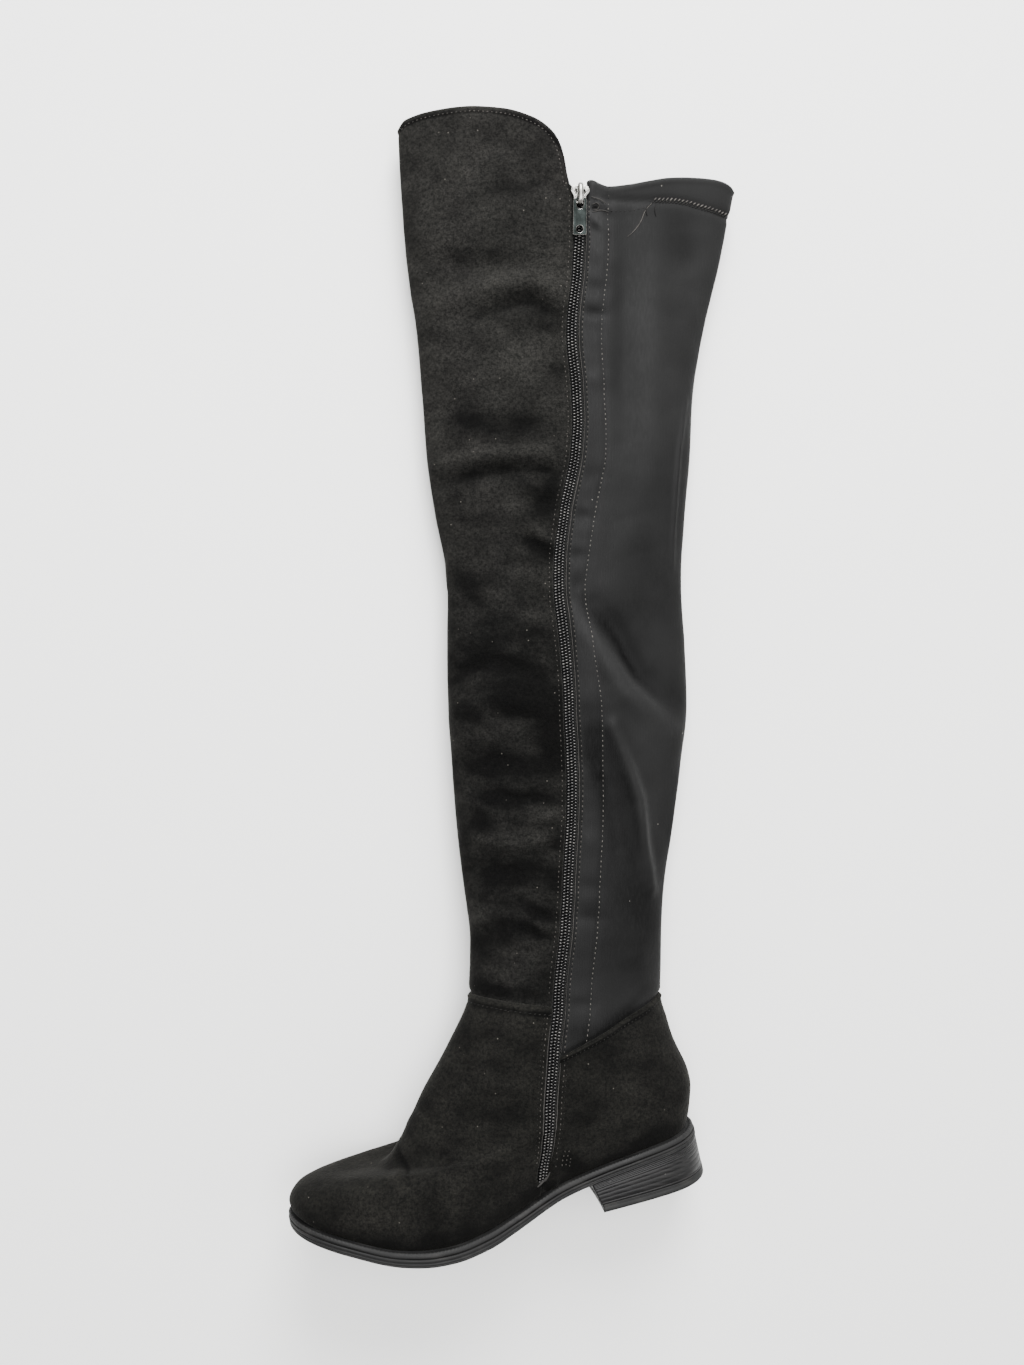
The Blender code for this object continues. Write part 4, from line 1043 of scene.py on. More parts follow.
def frontLift(height, angle):
    slotDistance = -zipDistance(height, angle) - boot["slotFront"]
    seamDistance = np.abs(zipDistance(height, -angle))
    rimDistance = underRim(flapEdge, height, angle)
    lift = reliefAt(height, angle)
    lift += edgeProfile(slotDistance, *shaft["slotEdge"])
    lift += edgeProfile(rimDistance, *shaft["flapEdge"])
    lift += stitchDip(slotDistance, shaft["zipStitch"], shaft["zipStitchDeep"])
    lift += stitchDip(rimDistance, shaft["flapStitch"], shaft["flapStitchDeep"], 1.2)
    lift += puckers(height, slotDistance, 6.0, 1.3) * 0.6
    lift -= shaft["seamDeep"] * hump(seamDistance, 0.0, boot["seamHalf"])
    return lift - tuckedIn(height - ankleSeam(angle))


def backLift(height, angle):
    zipReach = zipDistance(height, angle)
    slotDistance = zipReach - boot["slotBack"]
    seamDistance = np.abs(zipDistance(height, 2 * math.pi - angle))
    rimDistance = underRim(hemEdge, height, angle)
    placketDistance = zipReach - readTable(placketWidth, height)
    lift = reliefAt(height, angle)
    lift += edgeProfile(slotDistance, *shaft["backEdge"])
    lift += edgeProfile(rimDistance, *shaft["hemEdge"])
    lift += stitchDip(slotDistance, shaft["backStitch"], shaft["backStitchDeep"])
    lift += stitchDip(np.abs(placketDistance), 0.0, shaft["placketDeep"], 1.4)
    lift += (shaft["placketThick"] * (1.0 - smoothStep(-1.5, 1.5, placketDistance))
             * smoothStep(0.0, 3.0, slotDistance))
    lift += puckers(height, slotDistance, 8.0, 0.4)
    overSeam = height - hemSeam(angle)
    lift += shaft["hemThick"] * smoothStep(0.0, 2.0, overSeam)
    lift += stitchDip(overSeam, -0.5, 1.1, 2.6)
    lift -= shaft["seamDeep"] * hump(seamDistance, 0.0, boot["seamHalf"])
    return lift - tuckedIn(height - counterSeam(angle))


shaftShares = np.linspace(0.0, 1.0, shaft["rows"] + 1)
layPanel("shaft_front_suede", "shaft_front", (ankleSeam, flapEdge),
         shaft["tuckDown"], frontPanel(evenSlot), shaftShares,
         crowded(shaft["frontColumns"], shaft["crowding"], True), shaft, frontLift, "suedeWall",
         "shaftSuede", shaft["flapStitch"])
layPanel("shaft_back_stretch", "shaft_back", (counterSeam, hemEdge),
         shaft["tuckDown"], backPanel(evenSlot), shaftShares,
         crowded(shaft["backColumns"], shaft["crowding"], False), shaft, backLift, "stretchWall",
         "stretch")
print("shaft ready")

# ---- zip: two tapes, then the coil's turns laid along them by Geometry Nodes
zipSizes = {
    "tapeHalf": 12.0, "tapeThick": 0.7, "tapeFoot": 6.0, "tapeTop": 659.0,
    "tapeRows": 300, "tapeColumns": 40,
    "cords": (4.1, 5.0), "cordHigh": 0.45,   # raised cords, from the zip's middle
    "pitch": 2.0,          # from one turn to the next on one side
    "turnThick": 1.0,
    "turnReach": 3.3,      # from the middle to the outer bend
    "turnHigh": 1.4,
    "coilDepth": 0.8,      # the coil's middle, under the skin
}


def strip(name, left, right):
    height, distance = np.meshgrid(
        np.linspace(zipSizes["tapeFoot"], zipSizes["tapeTop"], zipSizes["tapeRows"] + 1),
        np.linspace(left, right, zipSizes["tapeColumns"] + 1), indexing="ij")
    angle = besideAt(height, zipAngle(height), distance)
    skin, outward = skinAt(height, angle), outwardAt(height, angle)
    cord = sum(hump(np.abs(distance), at, 0.3) for at in zipSizes["cords"])
    lift = reliefAt(height, angle) + zipSizes["cordHigh"] * cord - boot["tapeDepth"]
    outer = skin + outward * lift[..., None]
    under = skin + outward * (lift - zipSizes["tapeThick"])[..., None]
    return shellOf(name, outer, under, [finishes["tape"]] * 2, cord)


for side, left, right in (("front", -zipSizes["tapeHalf"], -0.15),
                          ("back", 0.15, zipSizes["tapeHalf"])):
    tape = strip(f"zip_tape_{side}_woven", left, right)
    finishPiece(tape, [f"zip_tape_{side}"])


def rowTree():
    # lays a rounded bar at every pitch along a guide, turned across it or along it
    tree = bpy.data.node_groups.new("rounded bars along a guide", "GeometryNodeTree")
    face = tree.interface
    face.new_socket("Geometry", in_out="INPUT", socket_type="NodeSocketGeometry")
    for name, default in (("Pitch", 0.003), ("Length", 0.002), ("Width", 0.0005),
                          ("Height", 0.0005), ("Turn", 0.0), ("Unevenness", 0.1)):
        face.new_socket(name, in_out="INPUT", socket_type="NodeSocketFloat").default_value = default
    face.new_socket("Seed", in_out="INPUT", socket_type="NodeSocketInt")
    face.new_socket("Finish", in_out="INPUT", socket_type="NodeSocketMaterial")
    face.new_socket("Geometry", in_out="OUTPUT", socket_type="NodeSocketGeometry")
    given = tree.nodes.new("NodeGroupInput").outputs
    curve = addNode(tree, "GeometryNodeMeshToCurve", {"Mesh": given["Geometry"]})
    spread = addNode(tree, "GeometryNodeResampleCurve", {
        "Curve": curve, "Length": given["Pitch"]}, mode="LENGTH")
    tangent = addNode(tree, "GeometryNodeInputTangent", {})
    outward = addNode(tree, "GeometryNodeInputNamedAttribute", {"Name": "outward"},
                      data_type="FLOAT_VECTOR")
    along = addNode(tree, "FunctionNodeAlignRotationToVector", {"Vector": tangent}, axis="X")
    upright = addNode(tree, "FunctionNodeAlignRotationToVector", {
        "Rotation": along, "Vector": outward}, axis="Z", pivot_axis="X")
    swing = addNode(tree, "FunctionNodeRandomValue", {2: -0.6, 3: 0.6, "Seed": given["Seed"]}, 1,
                    data_type="FLOAT")
    turn = addNode(tree, "ShaderNodeMath", {
        0: swing, 1: given["Unevenness"], 2: given["Turn"]}, operation="MULTIPLY_ADD")
    euler = addNode(tree, "ShaderNodeCombineXYZ", {"Z": turn})
    spin = addNode(tree, "FunctionNodeEulerToRotation", {"Euler": euler})
    turned = addNode(tree, "FunctionNodeRotateRotation", {"Rotation": upright, "Rotate By": spin},
                     rotation_space="LOCAL")
    nextSeed = addNode(tree, "ShaderNodeMath", {0: given["Seed"], 1: 7.0}, operation="ADD")
    chance = addNode(tree, "FunctionNodeRandomValue", {2: -1.0, 3: 1.0, "Seed": nextSeed}, 1,
                     data_type="FLOAT")
    grow = addNode(tree, "ShaderNodeMath", {
        0: chance, 1: given["Unevenness"], 2: 1.0}, operation="MULTIPLY_ADD")
    long = addNode(tree, "ShaderNodeMath", {0: grow, 1: given["Length"]}, operation="MULTIPLY")
    size = addNode(tree, "ShaderNodeCombineXYZ", {
        "X": long, "Y": given["Width"], "Z": given["Height"]})
    bead = addNode(tree, "GeometryNodeMeshUVSphere", {"Segments": 8, "Rings": 5, "Radius": 0.5})
    bars = addNode(tree, "GeometryNodeInstanceOnPoints", {
        "Points": spread, "Instance": bead, "Rotation": turned, "Scale": size})
    solid = addNode(tree, "GeometryNodeRealizeInstances", {"Geometry": bars})
    soft = addNode(tree, "GeometryNodeSetShadeSmooth", {"Geometry": solid})
    coloured = addNode(tree, "GeometryNodeSetMaterial", {
        "Geometry": soft, "Material": given["Finish"]})
    tree.links.new(coloured, tree.nodes.new("NodeGroupOutput").inputs["Geometry"])
    return tree


barRow = rowTree()


def laidRow(name, guides, sizes, finish):  # guides: lists of (points, outward), in mm
    mesh = bpy.data.meshes.new(name)
    points, outs, edges = [], [], []
    for path, outward in guides:
        start = len(points)
        points += ((np.asarray(path) + place) * mm).tolist()
        outs += np.asarray(outward).tolist()
        edges += [(start + n, start + n + 1) for n in range(len(path) - 1)]
    mesh.from_pydata(points, edges, [])
    held = mesh.attributes.new("outward", "FLOAT_VECTOR", "POINT")
    held.data.foreach_set("vector", np.ravel(outs).astype(np.float32))
    guide = putInScene(name, mesh)
    modifier = guide.modifiers.new("row", "NODES")
    modifier.node_group = barRow
    given = {s.name: s.identifier for s in barRow.interface.items_tree
             if s.item_type == "SOCKET" and s.in_out == "INPUT"}
    for key, value in sizes.items():
        modifier[given[key]] = value
    modifier[given["Finish"]] = finish
    made = solidOf(guide)
    made.name = name
    made.materials.clear()
    made.materials.append(finish)
    made.polygons.foreach_set("material_index", [0] * len(made.polygons))
    return putInScene(name, made)


def guideAt(height, angle, out, lift):
    height, angle = np.asarray(height, float), np.asarray(angle, float)
    outward = outwardAt(height, angle)
    return skinAt(height, angle) + outward * (lift(height, angle) + out)[..., None], outward


def zipGuide(low, high, distance, out, lift=reliefAt):
    height = np.arange(low, high, 2.0)
    return guideAt(height, besideAt(height, zipAngle(height), distance), out, lift)


coilTop = boot["sliderAt"] - 6.0
turnCentre = 0.5 * zipSizes["turnReach"] - 0.25
coilSizes = {"Pitch": zipSizes["pitch"] * mm, "Length": zipSizes["turnReach"] * mm,
             "Width": zipSizes["turnThick"] * mm, "Height": zipSizes["turnHigh"] * mm,
             "Turn": math.pi / 2, "Unevenness": 0.04, "Seed": 4}
coilFoot = boot["zipFoot"] - 5.0
half = 0.5 * zipSizes["pitch"]
coil = laidRow("zip_coil_turns", [
    zipGuide(coilFoot, coilTop, -turnCentre, -zipSizes["coilDepth"]),
    zipGuide(coilFoot + half, coilTop, turnCentre, -zipSizes["coilDepth"])],
    coilSizes, finishes["coil"])
finishPiece(coil, ["zip_coil"])
# beads on the turns' heads and bends, coloured pale as painted glints
coilGlintBeads = laidRow("zip_coil_heads_painted_glints", [
    zipGuide(coilFoot, coilTop, -2.3, -0.1), zipGuide(coilFoot + half, coilTop, 0.0, -0.1),
    zipGuide(coilFoot, coilTop, 2.3, -0.1)],
    {"Pitch": zipSizes["pitch"] * mm, "Length": 1.6 * mm, "Width": 0.85 * mm,
     "Height": 0.7 * mm, "Turn": math.pi / 2, "Unevenness": 0.12, "Seed": 9}, finishes["coilGlintHead"])
finishPiece(coilGlintBeads, ())
print("zip ready")

# ---- stitches
stitch = {"pitch": 3.25, "length": 1.5, "width": 0.85, "high": 0.6, "skew": 0.1,
          "hole": 1.0}     # needle holes between the stitches


def stitchSizes(pitch=1.0, length=1.0, width=1.0, turn=None, seed=1):
    return {"Pitch": stitch["pitch"] * pitch * mm, "Length": stitch["length"] * length * mm,
            "Width": stitch["width"] * width * mm, "Height": stitch["high"] * width * mm,
            "Turn": stitch["skew"] if turn is None else turn, "Unevenness": 0.16, "Seed": seed}


def rimGuide(rim, first, last, inset, out, lift):  # follows a rim at a true distance
    angle = np.linspace(first, last, 160)
    sine, cosine, run = rimSlope(rim, rim(angle), angle)
    return guideAt(rim(angle) - inset * cosine, angle + inset * sine * 2 * smallTurn / run, out,
                   lift)


def tubeAlong(path, side, half, high, sides):  # a flattened round bar along a path
    path = np.asarray(path, float)
    tangent = np.gradient(path, axis=0)
    tangent /= np.linalg.norm(tangent, axis=1, keepdims=True)
    side = np.broadcast_to(np.asarray(side, float), path.shape)
    side = side - tangent * np.sum(side * tangent, axis=1, keepdims=True)
    side = side / np.linalg.norm(side, axis=1, keepdims=True)
    up = np.cross(side, tangent)
    half = np.broadcast_to(half, len(path))[:, None, None]
    high = np.broadcast_to(high, len(path))[:, None, None]
    turn = np.linspace(0.0, 2 * math.pi, sides, endpoint=False)
    ring = np.cos(turn)[None, :, None] * side[:, None, :] * half
    ring = ring + np.sin(turn)[None, :, None] * up[:, None, :] * high
    points = np.vstack([(path[:, None, :] + ring).reshape(-1, 3), path[:1], path[-1:]])
    return points, fannedFaces(len(path), sides)


def joined(parts):  # parts: (points, faces)
    faces, start = [], 0
    for partPoints, partFaces in parts:
        faces += [[v + start for v in face] for face in partFaces]
        start += len(partPoints)
    return np.vstack([points for points, _ in parts]), faces


def onShaft(path, out, lift, count=24):  # smooth through (x, y) points of the shaft's plan
    path = np.array(path, float)
    length = lengthAlong(path)
    x, y = readCurve(length, path, np.linspace(0.0, length[-1], count)).T
    height = y + footSlices[-1][0] - boot["shaftFrom"]
    ring = readCurve(rings[:, 0], rings[:, 1:5], height)
    share = np.clip((x - ring[:, 0]) / (ring[:, 3] - ring[:, 0]), 0.0, 1.0)
    return guideAt(height, np.arccos(1.0 - 2.0 * share), out, lift)


# the zip's angle where the flap, the ankle seam, the counter's seam and the hem meet it
flapEnd, ankleTurn, counterTurn, hemTurn = zipAngle(np.array([684.0, 128.0, 97.0, 660.0]))
hemCover, hemStop = hemTurn * 1.30, 2 * math.pi - hemTurn * 1.02
frontStitch = -boot["slotFront"] - shaft["zipStitch"]
backStitch = boot["slotBack"] + shaft["backStitch"]
placketHeights = np.arange(100.0, 657.0, 2.0)
placketAngles = besideAt(placketHeights, zipAngle(placketHeights),
                         readTable(placketWidth, placketHeights))
rows = {
    "zip_stitches_suede": ([
        zipGuide(136.0, 654.0, frontStitch, 0.0, frontLift),
        zipGuide(20.0, 124.0, -boot["slotFront"] - foot["zipStitch"][0], 0.05, vampLift),
        zipGuide(20.0, 94.0, boot["slotBack"] + foot["zipStitch"][0], 0.05, counterLift)],
        stitchSizes(length=0.9, width=0.9), "thread"),
    "zip_stitches_foot": ([
        zipGuide(22.0, 124.0, -boot["slotFront"] - foot["zipStitch"][1], 0.0, vampLift),
        zipGuide(22.0, 90.0, boot["slotBack"] + foot["zipStitch"][1], 0.0, counterLift)],
        stitchSizes(length=0.85, width=0.85, seed=2), "darkThread"),
    "zip_stitches_stretch": ([zipGuide(102.0, 650.0, backStitch, 0.1, backLift)],
                             stitchSizes(seed=4), "thread"),
    "placket_stitches": ([guideAt(placketHeights, placketAngles, 0.05, backLift)],
                         stitchSizes(width=0.9, seed=3), "palerThread"),
    "flap_stitches": ([rimGuide(flapEdge, -flapEnd * 0.98, flapEnd * 0.985,
                                shaft["flapStitch"], 0.0, frontLift)],
                      stitchSizes(0.9, seed=5), "thread"),
    "ankle_stitches": ([rimGuide(ankleSeam, -ankleTurn * 0.97, ankleTurn * 0.95,
                                 foot["vampStitch"], 0.1, vampLift)],
                       stitchSizes(0.95, 1.6, turn=0.35, seed=6), "darkThread"),
    "counter_stitches": ([rimGuide(counterSeam, counterTurn * 1.05,
                                   2 * math.pi - counterTurn * 1.03,
                                   foot["counterStitch"], 0.1, counterLift)],
                         stitchSizes(0.9, turn=0.3, seed=8), "darkThread"),
    "hem_cover_stitches": ([rimGuide(hemSeam, hemCover, hemStop, -0.6, 0.6, backLift)],
                           stitchSizes(0.85, 1.9, 1.0, 0.75, seed=11), "palerThread"),
    "hem_cover_loops": ([rimGuide(hemSeam, hemCover * 0.995, hemStop, 0.9, 0.4, backLift)],
                        stitchSizes(0.72, 2.0, 1.2, 0.75, seed=13), "darkThread"),
    "hem_needle_stitches": ([
        rimGuide(hemSeam, hemTurn * 1.08, hemCover, 0.4, 0.0, backLift),
        onShaft(((-60.5, 626.6), (-54.4, 627.0), (-44.8, 628.2), (-37.6, 630.2), (-31.0, 633.6)),
                0.0, backLift)],
        stitchSizes(0.9, 0.9, 0.7, seed=12), "darkThread"),
    # dark beads at the needle holes: painted shade
    "needle_holes_painted_shade": ([
        zipGuide(103.6, 650.0, backStitch, -0.05, backLift),
        guideAt(placketHeights + 1.6, placketAngles, -0.05, backLift)],
        {**stitchSizes(seed=3), "Length": stitch["hole"] * mm, "Width": stitch["hole"] * mm,
         "Height": 0.3 * mm}, "paintedShadeHoles"),
    # bar tacks beside the foot of the zip
    "bar_tacks": ([
        zipGuide(10.5, 19.0, 14.0, 0.1, counterLift), zipGuide(9.5, 18.0, 17.2, 0.1, counterLift),
        zipGuide(12.0, 17.0, 9.0, 0.1, counterLift),
        zipGuide(8.0, 14.0, 20.0, 0.1, counterLift)],
        stitchSizes(0.75, 0.9, seed=14), "thread"),
}
for name, (guides, sizes, thread) in rows.items():
    finishPiece(laidRow(name, guides, sizes, finishes[thread]))
print("stitches ready,", len(rows), "rows")

# ---- small things at the slot: pale tubes as painted highlights along its edges and folds and on the crumpled hem corner, a dark tube as painted shade in that corner's hollow, loose threads
def layTubes(name, guides, half, high, finish):
    parts = []
    for path, outward in guides:
        side = np.cross(np.gradient(path, axis=0), outward)
        taper = np.sin(np.pi * np.clip(np.linspace(0.03, 0.97, len(path)), 0.0, 1.0)) ** 0.35
        parts.append(tubeAlong(path, side, half * taper, high * taper, 8))
    finishPiece(makeMesh(name, *joined(parts), [finish]), ())


# pale tubes along the slot's edges: painted highlights
layTubes("slot_edge_stretch_painted_highlight", [zipGuide(100.0, 651.0, boot["slotBack"] + 0.15, 0.05, backLift)],
         0.34, 0.4, finishes["paintedHighlightFold"])
layTubes("slot_edges_foot_painted_highlight", [
    zipGuide(16.0, 95.0, boot["slotBack"] + 0.2, 0.1, counterLift),
    zipGuide(16.0, 120.0, -boot["slotFront"] - 0.2, 0.1, vampLift)],
    0.36, 0.4, finishes["paintedHighlightFold"])
footFold = np.array([(6.8, -4.2), (7.2, -1.8), (7.8, 0.6), (8.6, 2.8), (10.8, 4.7)])
foldHeights, foldReach = readCurve(np.arange(5), footFold, np.linspace(0, 4, 24)).T
foldAngles = besideAt(foldHeights, zipAngle(foldHeights), foldReach)
# a fold at the zip's foot, coloured pale as a painted highlight
layTubes("zip_foot_fold_painted_highlight", [guideAt(foldHeights, foldAngles, 0.2, reliefAt)], 0.8, 0.6,
         finishes["paintedHighlightFold"])
# ribbons on the crumpled hem corner's folds, coloured pale as painted highlights
layTubes("hem_corner_edges_painted_highlight", [
    onShaft(((-74.0, 635.2), (-68.4, 633.1), (-64.2, 630.0)), 0.9, backLift),
    onShaft(((-73.4, 630.4), (-70.8, 631.3), (-68.8, 629.6), (-69.8, 627.5), (-72.6, 627.3)), 0.4,
            backLift),
    onShaft(((-73.4, 625.6), (-67.7, 626.9), (-62.4, 626.0)), 0.2, backLift)],
    0.32, 0.35, finishes["paintedHighlightFold"])
# a dark tube in the corner's hollow: painted shade
layTubes("hem_corner_hollow_painted_shade", [
    onShaft(((-73.0, 628.6), (-71.2, 629.4), (-69.9, 629.0)), 0.1, backLift)],
    0.9, 0.3, finishes["paintedShadeHoles"])
layTubes("loose_threads", [
    onShaft(((-33.0, 633.4), (-36.2, 630.2), (-38.6, 626.4), (-41.0, 620.5), (-43.5, 616.8),
             (-46.5, 613.4), (-49.5, 611.0)), 0.25, backLift, 40)],
    0.2, 0.2, finishes["palerThread"])
layTubes("loose_dark_threads", [
    onShaft(((-30.4, 632.5), (-31.4, 628.6), (-30.6, 624.4)), 0.3, backLift),
    onShaft(((-35.0, 632.4), (-37.5, 628.4), (-36.6, 624.6)), 0.3, backLift)],
    0.35, 0.35, finishes["sunkThread"])
print("small things ready")

# ---- sole: welt, outsole, heel block, top lift and insole, all from the feather line
sole = {
    "points": 1200,        # round the sole
    "weltThick": 3.2,
    "toothMm": 2.3, "toothDeep": 0.14,
    "soleReach": 4.0, "thick": 5.2, "thin": 3.8,
    "gap": 0.3,
    "treadMm": 6.5, "treadDeep": 1.1,
    "across": 72,          # faces from side to side of the underside
}


def soleOutline(angle, reach):
    (u, _, w), ahead, behind = (footCoordinates(skinAt(0.0, angle + turn))
                                for turn in (0.0, smallTurn, -smallTurn))
    run, cross = ahead[0] - behind[0], ahead[2] - behind[2]
    size = np.hypot(run, cross)
    return u + reach * cross / size, w - reach * run / size


def soleThickness(u):
    return readTable(((100.0, sole["thin"]), (150.0, sole["thick"])), u)


def soleLoop(angle, reach, drop, share=0.0):
    u, w = soleOutline(angle, reach)
    return footPoint(u, readTable(featherLine, u) - drop - share * soleThickness(u), w)


def evenTurns(count):  # the same step in mm between points, the first at the toe
    fine = np.linspace(0.0, 2 * math.pi, 3601)
    u, w = soleOutline(fine, 0.0)
    length = np.concatenate([[0.0], np.cumsum(np.hypot(np.diff(u), np.diff(w)))])
    half = np.interp(math.pi, fine, length)
    steps = np.concatenate([np.linspace(0.0, half, count // 2 + 1)[:-1],
                            np.linspace(half, length[-1], count // 2 + 1)[:-1]])
    return np.interp(steps, length, fine), steps


def cappedStack(name, loops, across, finishes, relief=None):
    # walls from loop to loop, and a cap at each end that runs from side to side
    count = loops.shape[1]
    half = count // 2
    points = [loops.reshape(-1, 3)]
    total = len(loops) * count
    faces = wallFaces(len(loops), count)
    for k, columns in ((0, 4), (len(loops) - 1, across)):
        loop = loops[k]
        rows = np.arange(1, half)
        t = np.linspace(0.0, 1.0, columns + 1)[1:-1]
        start, end = loop[rows][:, None, :], loop[count - rows][:, None, :]
        inside = start + (end - start) * t[None, :, None]
        if relief is not None and k:
            inside = relief(inside)
        points.append(inside.reshape(-1, 3))
        index = np.empty((half + 1, columns + 1), dtype=int)
        index[0, :], index[half, :] = k * count, k * count + half
        index[1:half, 0] = k * count + rows
        index[1:half, -1] = k * count + count - rows
        index[1:half, 1:-1] = total + np.arange((half - 1) * (columns - 1)).reshape(half - 1, -1)
        total += (half - 1) * (columns - 1)
        for n in range(half):
            for c in range(columns):
                corners = list(dict.fromkeys((index[n, c], index[n, c + 1], index[n + 1, c + 1],
                                              index[n + 1, c])))
                if len(corners) > 2:
                    faces.append([int(v) for v in corners])
    return makeMesh(name, np.vstack(points), faces, finishes, fixNormals=True)


turns, steps = evenTurns(sole["points"])
tooth = sole["toothDeep"] * np.cos(2 * math.pi * steps / sole["toothMm"])
weltProfile = (
    # reach past the feather line, drop under it, how much the teeth show
    (-7.6, 0.3, 0.0), (-0.6, 0.3, 0.0), (0.2, 0.55, 0.0), (0.7, 0.5, 0.2), (1.1, 0.22, 0.8),
    (1.8, 0.1, 1.0), (2.5, 0.2, 1.0), (3.0, 0.6, 0.8), (3.1, 1.0, 0.2), (3.4, 1.25, 0.0),
    (3.4, 2.9, 0.0), (3.2, 3.4, 0.0), (2.4, 3.5, 0.0), (-7.6, 3.5, 0.0),
)
loops = np.array([soleLoop(turns, reach + 0.5 * show * tooth, drop - show * tooth)
                  for reach, drop, show in weltProfile])
finishPiece(makeMesh("welt_ribbed", loops.reshape(-1, 3), wallFaces(*loops.shape[:2], True),
                     [finishes["welt"]], fixNormals=True), ["welt"])

soleTop = 2 * sole["gap"] + sole["weltThick"]
soleProfile = (
    # reach, share of the way down
    (2.6, 0.0), (3.6, 0.0), (3.95, 0.06), (4.05, 0.14), (4.05, 0.32), (3.85, 0.37), (3.35, 0.40),
    (3.35, 0.46), (3.85, 0.50), (4.05, 0.54), (4.05, 0.68), (3.7, 0.71), (3.7, 0.75),
    (4.05, 0.79), (4.0, 0.90), (3.8, 0.97), (3.3, 1.0), (2.4, 1.0),
)


def treadRelief(points):  # chevrons under the forefoot, plain under the waist
    flat = points.reshape(-1, 3)
    u, v, w = footCoordinates(flat)
    run = (u + 0.8 * np.abs(w)) / sole["treadMm"]
    groove = smoothStep(0.55, 0.9, np.abs(2.0 * (run - np.floor(run)) - 1.0))
    zone = smoothStep(128.0, 136.0, u) * (1.0 - smoothStep(250.0, 256.0, u))
    fromSide = np.interp(u, *widthAtU) * 0.5 - np.abs(w - np.interp(u, *middleAtU))
    edge = smoothStep(5.0, 7.0, fromSide)
    lifted = footPoint(u, v + sole["treadDeep"] * groove * zone * edge, w)
    return lifted.reshape(points.shape)


u, w = soleOutline(turns, sole["soleReach"])
halfCount = sole["points"] // 2
innerSide, outerSide = np.arange(1, halfCount), sole["points"] - np.arange(1, halfCount)
order = np.argsort(u[innerSide])
alongU = u[innerSide][order]
outerW = np.interp(alongU, u[outerSide][::-1], w[outerSide][::-1])
widthAtU = (alongU, np.abs(w[innerSide][order] - outerW))
middleAtU = (alongU, 0.5 * (w[innerSide][order] + outerW))
loops = np.array([soleLoop(turns, reach, soleTop, share) for reach, share in soleProfile])
outsole = cappedStack("outsole_tread", loops, sole["across"], [finishes["sole"]], treadRelief)
finishPiece(outsole, ["outsole"])

room = boot["upperWall"] + 2 * sole["gap"]
loops = np.array([soleLoop(turns, -room - inset, drop) for inset, drop in
                  ((0.0, 0.0), (0.0, -2.4), (0.3, -2.8), (0.9, -3.0))])
insole = cappedStack("insole_padded", loops, 24, [finishes["insole"]])
finishPiece(insole, ["insole"])

heel = {
    "round": 200, "breastPoints": 40,
    "breastTop": 79.0, "breastFoot": 75.0, "hollow": 1.3,
    "ground": -1.6, "liftThick": 5.0,
    # moulded lines: how far down the block, and how deep in mm
    "lines": ((0.07, 0.3), (0.13, 0.3), (0.19, 0.26), (0.27, 0.2), (0.40, 0.12), (0.56, 0.1),
              (0.74, 0.08), (0.93, 0.22)),
    "lineHalf": 0.016,
}


def breastTurns():
    tries = np.linspace(0.0, 2 * math.pi, 721)
    behind = tries[footCoordinates(skinAt(0.0, tries))[0] < heel["breastTop"]]
    return behind[0], behind[-1]


def heelLoop(reach, front, level):
    first, last = breastTurns()
    u, w = soleOutline(np.linspace(first, last, heel["round"]), reach)
    share = front / heel["breastTop"]
    u = np.minimum(u, heel["breastTop"]) * share + (1.0 - share) * u.min()
    t = np.linspace(0.0, 1.0, heel["breastPoints"] + 2)[1:-1]
    across = u[-1] + (u[0] - u[-1]) * t - heel["hollow"] * np.sin(math.pi * t)
    u, w = np.concatenate([u, across]), np.concatenate([w, w[-1] + (w[0] - w[-1]) * t])
    return footPoint(u, level(u), w)


def fannedStack(name, loops, finishes):
    points = np.vstack([loops.reshape(-1, 3), loops[0].mean(axis=0), loops[-1].mean(axis=0)])
    return makeMesh(name, points, fannedFaces(*loops.shape[:2]), finishes, fixNormals=True)


def underSole(u):
    return readTable(featherLine, u) - 3 * sole["gap"] - sole["weltThick"] - soleThickness(u)


def heelLevel(share):
    foot = heel["ground"] + heel["liftThick"] + sole["gap"]
    return lambda u: underSole(u) * (1.0 - share) + foot * share


cuts = [(0.0, 0.5), (0.004, 0.15), (0.02, 0.0)]
for at, deep in heel["lines"]:
    half = heel["lineHalf"]
    cuts += [(at - half, 0.0), (at - 0.4 * half, deep), (at + 0.4 * half, deep), (at + half, 0.0)]
cuts += [(0.98, 0.0), (0.996, 0.15), (1.0, 0.5)]
loops = np.array([
    heelLoop(sole["soleReach"] - 0.4 - deep,
             heel["breastTop"] + (heel["breastFoot"] + 0.6 - heel["breastTop"]) * share,
             heelLevel(share)) for share, deep in cuts])
block = fannedStack("heel_block_stacked", loops, [finishes["heel"]])
finishPiece(block, ["heel"])

liftProfile = (
    # height over the ground, how far in
    (5.0, 0.7), (4.9, 0.3), (4.5, 0.2), (4.35, 0.2), (4.2, 0.5), (4.0, 0.5), (3.85, 0.2),
    (3.6, 0.2), (3.5, 0.45), (3.35, 0.45), (3.2, 0.2), (0.8, 0.2), (0.35, 0.35), (0.08, 0.7),
    (0.0, 1.1),
)
loops = np.array([heelLoop(sole["soleReach"] - inset, heel["breastFoot"],
                           lambda u, v=v: np.full(len(u), heel["ground"] + v))
                  for v, inset in liftProfile])
topLift = fannedStack("heel_top_lift_tread", loops, [finishes["topLift"]])
finishPiece(topLift, ["heel_top_lift"])
print("sole ready")

